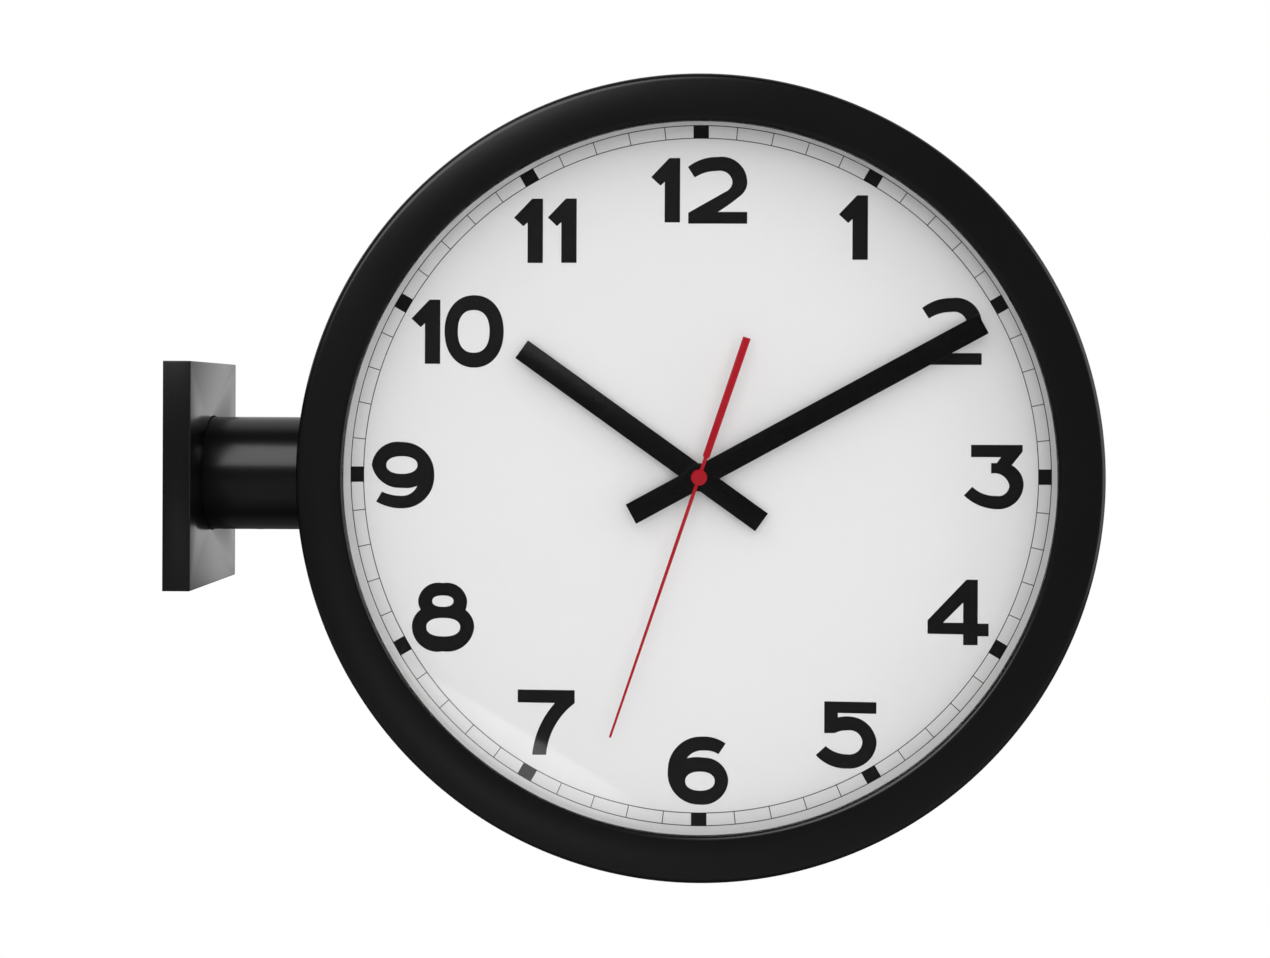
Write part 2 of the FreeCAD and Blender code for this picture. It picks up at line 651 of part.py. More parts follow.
def make_bezel():
    lip = OPENING_RADIUS + BEZEL_SHEET
    section = [
        (OPENING_RADIUS, LIP_DEPTH, 0),
        (FACE_RADIUS, 0, LIP_CORNER),
        (HEAD_RADIUS, 0, BEZEL_CORNER),
        (HEAD_RADIUS, SKIRT_DEPTH, 0),
        (SKIRT_RADIUS, SKIRT_DEPTH, 0),
        (SKIRT_RADIUS, BEZEL_SHEET, BEZEL_CORNER - BEZEL_SHEET),
        (lip + LIP_TAPER, BEZEL_SHEET, 0),
        (lip, LIP_DEPTH, 0),
    ]
    bezel = ring_from_section(section)
    hole = countersunk_hole(SCREW_HEAD_HEIGHT + BEZEL_SHEET)
    return bezel.cut(Part.makeCompound(round_the_bezel(hole)))


def make_bezel_screws():
    return Part.makeCompound(round_the_bezel(countersunk_screw(SCREW_LENGTH)))


def make_lens():
    return disc(LENS_RADIUS, LENS_FRONT, LENS_BACK)


def make_lens_gasket():
    front_edge = OPENING_RADIUS + GASKET_SHOW_GAP
    section = [
        (front_edge, GASKET_FRONT, 0),
        (GASKET_RADIUS, GASKET_FRONT, 0),
        (GASKET_RADIUS, GASKET_BACK, 0),
        (SPACER_INNER_RADIUS, GASKET_BACK, 0),
        (SPACER_INNER_RADIUS, LENS_BACK, 0),
        (LENS_RADIUS, LENS_BACK, 0),
        (LENS_RADIUS, LENS_FRONT, 0),
        (front_edge, LENS_FRONT, 0),
    ]
    return ring_from_section(section)


def make_spacer_ring():
    wall = tube(SPACER_RADIUS, SPACER_INNER_RADIUS, GASKET_BACK, DIAL_FRONT)
    foot = tube(DIAL_RADIUS, SPACER_INNER_RADIUS, DIAL_FRONT - SPACER_FOOT, DIAL_FRONT)
    return joined(wall, foot)


def make_dial():
    return tube(DIAL_RADIUS, BUSH_DIAMETER / 2 + SLIDE_GAP, DIAL_FRONT, DIAL_BACK)


def make_fixing_nut():
    nut = hexagon_plate(NUT_FLATS, NUT_FRONT, WASHER_FRONT)
    return nut.cut(disc(BUSH_DIAMETER / 2 + THREAD_GAP, NUT_FRONT, WASHER_FRONT))


def make_dial_washer():
    return tube(WASHER_DIAMETER / 2, BUSH_DIAMETER / 2 + SLIDE_GAP, WASHER_FRONT, DIAL_FRONT)


def make_case_gasket():
    return tube(CASE_GASKET_DIAMETER / 2, BUSH_DIAMETER / 2 + SLIDE_GAP, DIAL_BACK, CASE_FRONT)


# --- the hands ----------------------------------------------------------------
def turned_to(shape, angle):
    """Turns a hand that points at twelve, clockwise as seen from the dial."""
    shape.rotate(Vector(0, 0, 0), HEAD_AXIS, angle)
    return shape


def make_hour_hand():
    back = HOUR_HAND_BACK
    front = back - HAND_THICKNESS
    half = HAND_WIDTH / 2
    tip = TRACK_RADIUS - HOUR_HAND_TIP_GAP
    blade = block(-half, half, front, back, -HOUR_HAND_TAIL, tip)
    hand = joined(blade, disc(HAND_HUB_DIAMETER / 2, front, back))
    return turned_to(hand.cut(disc(HOUR_TUBE_DIAMETER / 2, front, back)), HOUR_HAND_ANGLE)


def make_minute_hand():
    back = MINUTE_HAND_BACK
    front = back - HAND_THICKNESS
    tip = TRACK_RADIUS - MINUTE_HAND_TIP_GAP
    half = HAND_WIDTH / 2
    blade = block(-half, half, front, back, -MINUTE_HAND_TAIL, tip)
    hand = joined(blade, disc(HAND_HUB_DIAMETER / 2, front, back))
    return turned_to(hand.cut(disc(MINUTE_TUBE_DIAMETER / 2, front, back)), MINUTE_HAND_ANGLE)


def make_second_hand():
    back = SECOND_HAND_BACK
    front = back - SECOND_HAND_THICKNESS
    tip = TRACK_RADIUS - SECOND_HAND_TIP_GAP
    root_half = SECOND_HAND_ROOT_WIDTH / 2
    tip_half = SECOND_HAND_TIP_WIDTH / 2
    needle = [(-root_half, -WEIGHT_START), (root_half, -WEIGHT_START), (tip_half, tip), (-tip_half, tip)]
    inner_half = WEIGHT_INNER_WIDTH / 2
    outer_half = WEIGHT_OUTER_WIDTH / 2
    shoulder = -WEIGHT_START - WEIGHT_SHOULDER
    weight = [
        (-root_half, -WEIGHT_START),
        (root_half, -WEIGHT_START),
        (inner_half, shoulder),
        (outer_half, -WEIGHT_END),
        (-outer_half, -WEIGHT_END),
        (-inner_half, shoulder),
    ]
    boss_back = SECOND_BOSS_FRONT + SECOND_BOSS_HEIGHT
    boss = disc(SECOND_BOSS_DIAMETER / 2, SECOND_BOSS_FRONT, boss_back)
    hand = joined(polygon_plate(needle, front, back), polygon_plate(weight, front, back), boss)
    bore = disc(ARBOR_DIAMETER / 2, second_arbor_front(), boss_back)
    return turned_to(hand.cut(bore), SECOND_HAND_ANGLE)


def second_arbor_front():
    return SECOND_BOSS_FRONT + SECOND_BOSS_PROUD


# --- the movement's casing ----------------------------------------------------
def boss(outer_radius, bore_radius, base, end, at):
    """A bearing boss from a wall at the depth base to the depth end, with a blind hole."""
    direction = 1 if end > base else -1
    low, high = sorted((base, end))
    solid = disc(outer_radius, low, high, at)
    floor = base + direction * BOSS_FLOOR
    low, high = sorted((floor, end))
    return solid.cut(disc(bore_radius, low, high, at))


def arbor_boss(base, end, at):
    bore = ARBOR_DIAMETER / 2 + RUNNING_GAP
    return boss(bore + BOSS_WALL, bore, base, end, at)


def layer_start(number, thickness):
    return LAYER[number] - thickness / 2


def layer_end(number, thickness):
    return LAYER[number] + thickness / 2


def stator_post_places():
    side = STATOR_LENGTH / 2 - STATOR_LEG / 2
    return [(ROTOR_AT[0] - side, COIL_UP), (ROTOR_AT[0] + side, COIL_UP)]


def board_box():
    right = CASE_WIDTH / 2 - CASE_WALL - SLIDE_GAP
    low = CELL_MIDDLE_UP + CELL_DIAMETER / 2 + SHADOW_GAP
    return right - BOARD_WIDTH, right, low, low + BOARD_HEIGHT


def board_front():
    return LAYER[3] - BOARD_THICKNESS / 2


def board_post_places():
    right, low, high = board_box()[1:]
    across = right - BOARD_POST_INSET
    return [(across, low + BOARD_POST_INSET), (across, high - BOARD_POST_INSET)]


def make_movement_case():
    side = CASE_WIDTH / 2
    top = CASE_HEIGHT / 2
    inner_side = side - CASE_WALL
    inner_top = top - CASE_WALL
    box = block(-side, side, CASE_FRONT, CASE_BACK, -top, top)
    box = box.cut(block(-inner_side, inner_side, CASE_FLOOR, CASE_BACK, -inner_top, inner_top))
    bush_bore = HOUR_TUBE_DIAMETER / 2 + RUNNING_GAP
    thrust_end = layer_start(0, WHEEL_THICKNESS) - END_SHAKE
    additions = [
        disc(BUSH_DIAMETER / 2, BUSH_FRONT, thrust_end),
        disc(POST_DIAMETER / 2, CASE_FRONT, layer_end(1, PINION_THICKNESS), MOTION_AT),
        disc(
            POST_DIAMETER / 2 + BOSS_WALL,
            CASE_FRONT,
            layer_start(0, PINION_THICKNESS) - END_SHAKE,
            MOTION_AT,
        ),
        arbor_boss(CASE_FRONT, layer_start(2, PINION_THICKNESS) - END_SHAKE, THIRD_AT),
        arbor_boss(CASE_FRONT, magnet_front() - END_SHAKE, ROTOR_AT),
        arbor_boss(CASE_FRONT, layer_start(1, PINION_THICKNESS) - END_SHAKE, KNOB_AT),
    ]
    for place in stator_post_places():
        additions.append(disc(BOARD_POST_DIAMETER / 2, CASE_FRONT, STATOR_FRONT, place))
    for place in board_post_places():
        additions.append(disc(BOARD_POST_DIAMETER / 2, CASE_FRONT, board_front(), place))
    case = box.cut(disc(bush_bore, CASE_FRONT, CASE_FLOOR))
    case = joined(case, *additions)
    return case.cut(disc(bush_bore, BUSH_FRONT, thrust_end))


def make_movement_cover():
    side = CASE_WIDTH / 2
    top = CASE_HEIGHT / 2
    plate = block(-side, side, CASE_BACK, COVER_BACK, -top, top)
    window_half = CELL_LENGTH / 2 - CELL_WINDOW_LIP
    window_low = CELL_MIDDLE_UP - CELL_DIAMETER / 2 + CELL_WINDOW_LIP
    window_high = CELL_MIDDLE_UP + CELL_DIAMETER / 2 - CELL_WINDOW_LIP
    plate = plate.cut(block(-window_half, window_half, CASE_BACK, COVER_BACK, window_low, window_high))
    shoulder = POST_DIAMETER / 2 + BOSS_WALL
    additions = [
        arbor_boss(COVER_BACK, layer_end(4, WHEEL_THICKNESS) + END_SHAKE, CENTRE_AT),
        arbor_boss(COVER_BACK, layer_end(3, WHEEL_THICKNESS) + END_SHAKE, THIRD_AT),
        arbor_boss(COVER_BACK, layer_end(5, PINION_THICKNESS) + END_SHAKE, ROTOR_AT),
        disc(POST_DIAMETER / 2, layer_start(4, PINION_THICKNESS), COVER_BACK, INTERMEDIATE_AT),
        disc(shoulder, layer_end(5, WHEEL_THICKNESS) + END_SHAKE, COVER_BACK, INTERMEDIATE_AT),
    ]
    for sign in (-1, 1):
        inside = sign * (side + SLIDE_GAP / 3)
        outside = inside + sign * CLIP_THICKNESS
        low, high = sorted((inside, outside))
        clip = block(low, high, CASE_BACK - CLIP_LENGTH, COVER_BACK, -CLIP_WIDTH / 2, CLIP_WIDTH / 2)
        low, high = sorted((sign * (side - CASE_WALL), outside))
        root = block(low, high, CASE_BACK, COVER_BACK, -CLIP_WIDTH / 2, CLIP_WIDTH / 2)
        additions.extend((clip, root))
    cover = joined(plate, *additions)
    return cover.cut(disc(KNOB_ARBOR_DIAMETER / 2 + RUNNING_GAP, CASE_BACK, COVER_BACK, KNOB_AT))


def make_battery():
    length = CELL_LENGTH - CELL_BUTTON_LENGTH
    left = -CELL_LENGTH / 2
    at = (CELL_MIDDLE_DEPTH, CELL_MIDDLE_UP)
    cell = x_bar(CELL_DIAMETER / 2, left, left + length, *at)
    button = x_bar(CELL_BUTTON_DIAMETER / 2, left + length, left + CELL_LENGTH, *at)
    return joined(cell, button)


def make_battery_contacts():
    inner = CASE_WIDTH / 2 - CASE_WALL
    half = CONTACT_WIDTH / 2
    contacts = []
    for sign in (-1, 1):
        low, high = sorted((sign * inner, sign * (inner - CONTACT_THICKNESS)))
        front = CASE_FLOOR + CELL_GAP
        back = CASE_BACK - CELL_GAP
        strip = block(low, high, front, back, CELL_MIDDLE_UP - half, CELL_MIDDLE_UP + half)
        low, high = sorted((sign * inner, sign * CELL_LENGTH / 2))
        pad = x_bar(CONTACT_PAD_DIAMETER / 2, low, high, CELL_MIDDLE_DEPTH, CELL_MIDDLE_UP)
        contacts.append(joined(strip, pad))
    return Part.makeCompound(contacts)


def make_circuit_board():
    left, right, low, high = board_box()
    front = board_front()
    board = block(left, right, front, front + BOARD_THICKNESS, low, high)
    chip = block(
        left + BOARD_WIDTH / 4,
        right - BOARD_WIDTH / 4,
        front + BOARD_THICKNESS,
        front + 2 * BOARD_THICKNESS,
        low + BOARD_HEIGHT / 3,
        high - BOARD_HEIGHT / 3,
    )
    return joined(board, chip)


# --- the step motor -----------------------------------------------------------
def magnet_front():
    return LAYER[2] - MAGNET_LENGTH / 2


def make_stator():
    left = ROTOR_AT[0] - STATOR_LENGTH / 2
    right = ROTOR_AT[0] + STATOR_LENGTH / 2
    bar = block(left, right, STATOR_FRONT, STATOR_BACK, STATOR_LOW, STATOR_HIGH)
    left_leg = block(left, left + STATOR_LEG, STATOR_FRONT, STATOR_BACK, STATOR_LOW, LEG_HIGH)
    right_leg = block(right - STATOR_LEG, right, STATOR_FRONT, STATOR_BACK, STATOR_LOW, LEG_HIGH)
    hole = disc(MAGNET_DIAMETER / 2 + STATOR_AIR_GAP, STATOR_FRONT, STATOR_BACK, ROTOR_AT)
    return joined(bar, left_leg, right_leg).cut(hole)


def make_coil():
    left = ROTOR_AT[0] - STATOR_LENGTH / 2
    right = ROTOR_AT[0] + STATOR_LENGTH / 2
    core_back = STATOR_BACK + CORE_THICKNESS
    core = block(left, right, STATOR_BACK, core_back, COIL_UP - CORE_HEIGHT / 2, LEG_HIGH)
    depth = STATOR_BACK + CORE_THICKNESS / 2
    half = COIL_LENGTH / 2
    winding_radius = COIL_DIAMETER / 2 - SLIDE_GAP
    winding = x_bar(winding_radius, ROTOR_AT[0] - half, ROTOR_AT[0] + half, depth, COIL_UP)
    pieces = [winding]
    for start in (ROTOR_AT[0] - half, ROTOR_AT[0] + half - COIL_FLANGE):
        pieces.append(x_bar(COIL_DIAMETER / 2, start, start + COIL_FLANGE, depth, COIL_UP))
    return joined(core, *pieces)


# --- the wheel train ----------------------------------------------------------
# Every gear starts from the phase of the gear that drives it, so the train is in
# mesh at rest.
CANNON_PHASE = 0.0
MOTION_PHASE = mesh_phase(MOTION_DIRECTION, CANNON_PHASE, CANNON_TEETH, MOTION_WHEEL_TEETH)
KNOB_PHASE = mesh_phase(KNOB_DIRECTION, MOTION_PHASE, MOTION_WHEEL_TEETH, KNOB_PINION_TEETH)
HOUR_PHASE = 0.0
MOTION_PINION_PHASE = mesh_phase(MOTION_DIRECTION, HOUR_PHASE, HOUR_WHEEL_TEETH, MOTION_PINION_TEETH)
SECOND_PHASE = 0.0
THIRD_PHASE = mesh_phase(THIRD_DIRECTION, SECOND_PHASE, SECOND_PINION_TEETH, THIRD_WHEEL_TEETH)
CENTRE_PHASE = 0.0
THIRD_PINION_PHASE = mesh_phase(THIRD_DIRECTION, CENTRE_PHASE, CENTRE_WHEEL_TEETH, THIRD_PINION_TEETH)
INTERMEDIATE_PHASE = 0.0
INTERMEDIATE_PINION_PHASE = mesh_phase(
    INTERMEDIATE_DIRECTION, SECOND_PHASE, SECOND_WHEEL_TEETH, INTERMEDIATE_PINION_TEETH
)
ROTOR_PHASE = mesh_phase(ROTOR_DIRECTION, INTERMEDIATE_PHASE, INTERMEDIATE_WHEEL_TEETH, ROTOR_PINION_TEETH)


def arbor(front, back, at):
    return disc(ARBOR_DIAMETER / 2, front, back, at)


def front_pivot():
    """The front end of an arbor that turns in a blind boss of the case."""
    return CASE_FRONT + BOSS_FLOOR + END_SHAKE


def back_pivot():
    return COVER_BACK - BOSS_FLOOR - END_SHAKE


def make_hour_wheel():
    start = layer_start(0, WHEEL_THICKNESS)
    end = layer_end(0, WHEEL_THICKNESS)
    front = HOUR_HAND_BACK - HAND_THICKNESS
    gear = wheel(HOUR_WHEEL_TEETH, HOUR_MODULE, HOUR_PHASE, LAYER[0], CENTRE_AT)
    pipe = disc(HOUR_TUBE_DIAMETER / 2, front, end)
    hub = disc(HOUR_TUBE_DIAMETER / 2 + HUB_WALL, start, end)
    return joined(gear, pipe, hub).cut(disc(MINUTE_TUBE_DIAMETER / 2 + RUNNING_GAP, front, end))


def make_cannon_pinion():
    front = MINUTE_HAND_BACK - HAND_THICKNESS
    back = layer_start(3, PINION_THICKNESS) - END_SHAKE
    gear = pinion(CANNON_TEETH, MOTION_MODULE, CANNON_PHASE, LAYER[1], CENTRE_AT)
    pipe = disc(MINUTE_TUBE_DIAMETER / 2, front, back)
    return joined(gear, pipe).cut(disc(ARBOR_DIAMETER / 2 + RUNNING_GAP, front, back))


def make_motion_wheel():
    start = layer_start(0, PINION_THICKNESS)
    end = layer_end(1, WHEEL_THICKNESS)
    gear = wheel(MOTION_WHEEL_TEETH, MOTION_MODULE, MOTION_PHASE, LAYER[1], MOTION_AT)
    small = pinion(MOTION_PINION_TEETH, HOUR_MODULE, MOTION_PINION_PHASE, LAYER[0], MOTION_AT)
    hub = disc(POST_DIAMETER / 2 + RUNNING_GAP + HUB_WALL, start, end, MOTION_AT)
    return joined(gear, small, hub).cut(disc(POST_DIAMETER / 2 + RUNNING_GAP, start, end, MOTION_AT))


def make_setting_knob():
    gear = pinion(KNOB_PINION_TEETH, MOTION_MODULE, KNOB_PHASE, LAYER[1], KNOB_AT)
    shaft = disc(KNOB_ARBOR_DIAMETER / 2, LAYER[1], KNOB_FRONT, KNOB_AT)
    knob = disc(KNOB_DIAMETER / 2, KNOB_FRONT, KNOB_BACK, KNOB_AT)
    for number in range(KNOB_FLUTES):
        at = polar(KNOB_DIAMETER / 2, 360 * number / KNOB_FLUTES, KNOB_AT)
        knob = knob.cut(disc(KNOB_FLUTE_DIAMETER / 2, KNOB_FRONT, KNOB_BACK, at))
    return joined(gear, shaft, knob, arbor(front_pivot(), LAYER[1], KNOB_AT))


def make_centre_wheel():
    """The wheel that slips on the minute tube when the hands are set."""
    start = layer_end(1, PINION_THICKNESS) + END_SHAKE
    end = layer_end(2, WHEEL_THICKNESS)
    bore = MINUTE_TUBE_DIAMETER / 2 + RUNNING_GAP
    gear = wheel(CENTRE_WHEEL_TEETH, CENTRE_MODULE, CENTRE_PHASE, LAYER[2], CENTRE_AT)
    return joined(gear, disc(bore + HUB_WALL, start, end)).cut(disc(bore, start, end))


def make_third_wheel():
    gear = wheel(THIRD_WHEEL_TEETH, THIRD_MODULE, THIRD_PHASE, LAYER[3], THIRD_AT)
    small = pinion(THIRD_PINION_TEETH, CENTRE_MODULE, THIRD_PINION_PHASE, LAYER[2], THIRD_AT)
    return joined(gear, small, arbor(front_pivot(), back_pivot(), THIRD_AT))


def make_second_wheel():
    gear = wheel(SECOND_WHEEL_TEETH, SECOND_MODULE, SECOND_PHASE, LAYER[4], CENTRE_AT)
    small = pinion(SECOND_PINION_TEETH, THIRD_MODULE, SECOND_PHASE, LAYER[3], CENTRE_AT)
    return joined(gear, small, arbor(second_arbor_front(), back_pivot(), CENTRE_AT))


def make_intermediate_wheel():
    start = layer_start(4, PINION_THICKNESS)
    end = layer_end(5, WHEEL_THICKNESS)
    at = INTERMEDIATE_AT
    gear = wheel(INTERMEDIATE_WHEEL_TEETH, ROTOR_MODULE, INTERMEDIATE_PHASE, LAYER[5], at)
    small = pinion(INTERMEDIATE_PINION_TEETH, SECOND_MODULE, INTERMEDIATE_PINION_PHASE, LAYER[4], at)
    bore = POST_DIAMETER / 2 + RUNNING_GAP
    sleeve = disc(bore + HUB_WALL / 2, start, end, at)
    return joined(gear, small, sleeve).cut(disc(bore, start, end, at))


def make_rotor():
    magnet = disc(MAGNET_DIAMETER / 2, magnet_front(), magnet_front() + MAGNET_LENGTH, ROTOR_AT)
    small = pinion(ROTOR_PINION_TEETH, ROTOR_MODULE, ROTOR_PHASE, LAYER[5], ROTOR_AT)
    return joined(magnet, small, arbor(front_pivot(), back_pivot(), ROTOR_AT))


# --- the pieces ---------------------------------------------------------------
SHARED_PIECES = {
    "wall_bracket": make_wall_bracket,
    "wall_cover": make_wall_cover,
    "cover_screws": make_cover_screws,
    "arm_tube": make_arm_tube,
    "arm_set_screws": make_arm_set_screws,
    "arm_end_block": make_arm_end_block,
    "saddle_plate": make_saddle_plate,
    "arm_bolts": make_arm_bolts,
    "head_shell": make_head_shell,
}

PAIRED_FASTENERS = {
    "bezel_screws": make_bezel_screws,
    "fixing_nuts": make_fixing_nut,
    "dial_washers": make_dial_washer,
    "case_gaskets": make_case_gasket,
    "battery_contacts": make_battery_contacts,
}

PIECES_OF_EACH_SIDE = {
    "bezel": make_bezel,
    "lens": make_lens,
    "lens_gasket": make_lens_gasket,
    "spacer_ring": make_spacer_ring,
    "dial": make_dial,
    "hour_hand": make_hour_hand,
    "minute_hand": make_minute_hand,
    "second_hand": make_second_hand,
    "movement_case": make_movement_case,
    "movement_cover": make_movement_cover,
    "battery": make_battery,
    "circuit_board": make_circuit_board,
    "coil": make_coil,
    "stator": make_stator,
    "rotor": make_rotor,
    "intermediate_wheel": make_intermediate_wheel,
    "second_wheel": make_second_wheel,
    "third_wheel": make_third_wheel,
    "centre_wheel": make_centre_wheel,
    "cannon_pinion": make_cannon_pinion,
    "motion_wheel": make_motion_wheel,
    "hour_wheel": make_hour_wheel,
    "setting_knob": make_setting_knob,
}


def write(name, shape):
    shape.exportStep("parts/" + name + ".step")


def main():
    os.makedirs("parts", exist_ok=True)
    for name, make in SHARED_PIECES.items():
        write(name, make())
    for name, make in PAIRED_FASTENERS.items():
        write(name, both_sides(make))
    for side in SIDES:
        for name, make in PIECES_OF_EACH_SIDE.items():
            write(side + "_" + name, to_side(make(), side))


main()
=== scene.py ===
import math

import bmesh
import bpy
from mathutils import Matrix, Vector


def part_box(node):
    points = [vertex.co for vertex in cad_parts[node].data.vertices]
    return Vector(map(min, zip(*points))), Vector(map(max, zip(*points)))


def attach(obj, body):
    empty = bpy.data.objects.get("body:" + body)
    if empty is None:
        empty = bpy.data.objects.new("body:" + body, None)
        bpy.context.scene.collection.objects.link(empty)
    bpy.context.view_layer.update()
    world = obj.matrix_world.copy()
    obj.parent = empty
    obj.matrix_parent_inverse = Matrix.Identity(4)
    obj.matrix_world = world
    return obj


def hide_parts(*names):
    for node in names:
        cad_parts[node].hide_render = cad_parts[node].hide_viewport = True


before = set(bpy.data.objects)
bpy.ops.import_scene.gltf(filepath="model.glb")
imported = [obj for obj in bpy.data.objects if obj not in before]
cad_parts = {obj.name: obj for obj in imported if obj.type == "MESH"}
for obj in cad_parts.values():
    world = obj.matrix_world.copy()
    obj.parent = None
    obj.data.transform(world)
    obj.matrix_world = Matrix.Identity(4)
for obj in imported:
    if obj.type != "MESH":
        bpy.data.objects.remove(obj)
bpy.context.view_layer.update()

bl_info = {
    "name": "Double sided station clock",
    "version": (1, 0, 0),
    "blender": (4, 5, 0),
    "location": "3D View > Sidebar > Clock",
    "description": "Dresses a double sided station clock on a wall arm around its construction frame",
    "category": "Add Mesh",
}

MM = 0.001


# --- where the frame puts things ---
def middle_of(node):
    low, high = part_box(node)
    return (Vector(low) + Vector(high)) / 2


HEAD_X = middle_of("head_shell").x
HEAD_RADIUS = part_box("front_bezel")[1][0] - HEAD_X
HEAD_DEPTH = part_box("rear_bezel")[1][1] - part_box("front_bezel")[0][1]
SIDES = {
    "front": Matrix.Translation((HEAD_X, -HEAD_DEPTH / 2, 0)),
    "rear": Matrix.Translation((HEAD_X, HEAD_DEPTH / 2, 0)) @ Matrix.Rotation(math.pi, 4, "Z"),
}


def depths(node):
    """How far a front node's front and back lie behind the front bezel's face."""
    low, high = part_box(node)
    return low[1] + HEAD_DEPTH / 2, high[1] + HEAD_DEPTH / 2


def radius_of(node):
    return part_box(node)[1][0] - HEAD_X


# --- sizes and colours ---
def length(name, description, millimetres):
    return bpy.props.FloatProperty(
        name=name, description=description, default=millimetres * MM, min=0.0, unit="LENGTH", precision=5
    )


def turn(name, description, degrees):
    return bpy.props.FloatProperty(
        name=name, description=description, default=math.radians(degrees), subtype="ANGLE", unit="ROTATION"
    )


def level(name, description, value):
    return bpy.props.FloatProperty(name=name, description=description, default=value, min=0.0)


def colour(name, description, value):
    return bpy.props.FloatVectorProperty(
        name=name, description=description, default=value, min=0.0, max=1.0, size=3, subtype="COLOR"
    )


class ClockHeadSizes(bpy.types.PropertyGroup):
    """Sizes of the round head: its sheet bezels, its band, the glass and what holds them."""
    bezel_sheet: length("Bezel sheet", "Thickness of the pressed bezel", 2.0)
    bezel_corner: length("Bezel corner", "Outer rounding of the bezel", 3.0)
    face_width: length("Face width", "Width of the bezel's face with both its corners", 21.3)
    lip_corner: length("Lip corner", "Rounding where the face turns into the lip", 3.0)
    lip_depth: length("Lip depth", "How deep the lip goes to the glass", 6.5)
    lip_flare: length("Lip flare", "How much the lip opens out over its depth", 1.2)
    hem_corner: length("Hem corner", "Rounding of the sheet's cut edges", 0.3)
    band_wall: length("Band wall", "Thickness of the band between the bezels", 1.5)
    flange_width: length("Flange width", "Width of the flanges that the dials lie on", 13.0)
    flange_thickness: length("Flange thickness", "Thickness of those flanges", 2.0)
    weld_nut: length("Weld nut", "Diameter of the nuts for the bezel screws", 7.0)
    weld_nut_height: length("Weld nut height", "How far those nuts stand into the head", 3.5)
    lens_edge: length("Lens edge", "Chamfer round the glass", 0.25)
    spacer_wall: length("Spacer wall", "Wall of the ring between glass and dial", 2.0)
    spacer_foot: length("Spacer foot", "Thickness of that ring's foot on the dial", 1.5)


class ClockDialSizes(bpy.types.PropertyGroup):
    """Sizes of the printed dials and of the nuts and washers that hold the movements."""
    track_radius: length("Track radius", "Inner line of the minute track", 148.75)
    track_width: length("Track width", "Between the two lines of the minute track", 5.6)
    line_width: length("Line width", "Width of the track's printed lines", 0.4)
    block_width: length("Hour block width", "Width of the black block at each hour", 6.8)
    print_height: length("Print height", "Thickness of the printed ink", 0.04)
    print_rise: length("Print rise", "How far the print sits above the middle of its dial", 0.5)
    print_shift: length("Print shift", "How far the print sits to the right of the middle of its dial", 0.45)
    centre_hole: length("Centre hole", "Diameter of the hole for the movement's bush", 8.6)


class ClockHandSizes(bpy.types.PropertyGroup):
    """Sizes and standing of the six hands."""
    hour_angle: turn("Hour hand", "Hour hand clockwise from twelve", 305.6)
    minute_angle: turn("Minute hand", "Minute hand clockwise from twelve", 61.35)
    second_angle: turn("Second hand", "Second hand clockwise from twelve", 198.7)
    width: length("Hand width", "Width of the hour and minute hands", 9.6)
    hub: length("Hand hub", "Diameter of the round hub of both hands", 12.3)
    rim: length("Hand edge", "Rounding of the hands' stamped edges", 0.12)
    hour_tip: length("Hour hand tip", "From the axis to the hour hand's tip", 96.0)
    hour_tail: length("Hour hand tail", "From the axis to the hour hand's tail", 33.8)
    hour_bore: length("Hour hand bore", "Hole for the hour wheel's tube", 5.0)
    minute_tip: length("Minute hand tip", "From the axis to the minute hand's tip", 141.0)
    minute_tail: length("Minute hand tail", "From the axis to the minute hand's tail", 33.9)
    minute_bore: length("Minute hand bore", "Hole for the cannon pinion's tube", 3.2)
    second_tip: length("Second hand tip", "From the axis to the needle's tip", 120.0)
    needle_root: length("Needle root width", "Width of the needle at the boss", 1.7)
    needle_point: length("Needle point width", "Width of the needle at its tip", 1.0)
    weight_start: length("Counterweight start", "From the axis to the counterweight", 8.9)
    weight_end: length("Counterweight end", "From the axis to the counterweight's end", 64.5)
    weight_inner: length("Counterweight inner width", "Width near the boss", 3.1)
    weight_outer: length("Counterweight outer width", "Width at the end", 3.5)
    weight_shoulder: length("Counterweight shoulder", "Length of the slope where it widens", 0.8)
    boss: length("Boss", "Diameter of the red boss", 7.1)
    boss_edge: length("Boss edge", "Chamfer of the boss", 0.45)


class ClockArmSizes(bpy.types.PropertyGroup):
    """Sizes of the wall cover and the arm."""
    cover_wall: length("Cover wall", "Sheet of the wall cover", 2.0)
    cover_edge: length("Cover edge", "Rounding of the cover's outer edges", 0.5)
    arm_wall: length("Arm wall", "Wall of the arm's tube", 2.5)
    arm_gap: length("Arm gap", "Between the arm and the hole in the cover", 0.3)
    hole_edge: length("Hole edge", "Rounding of that hole", 0.5)
    set_screw: length("Set screw", "Diameter of the arm's set screws", 6.0)
    screw_head: length("Screw head", "Diameter of the countersunk heads", 5.5)
    screw_head_height: length("Screw head height", "Height of the countersunk heads", 1.65)
    screw: length("Screw", "Diameter of the small screws", 3.0)
    screw_length: length("Screw length", "Length of the small screws", 7.0)
    screw_socket: length("Screw socket", "Across the flats of their sockets", 2.0)
    screw_sink: length("Screw sink", "How far their heads lie under the surface", 0.05)


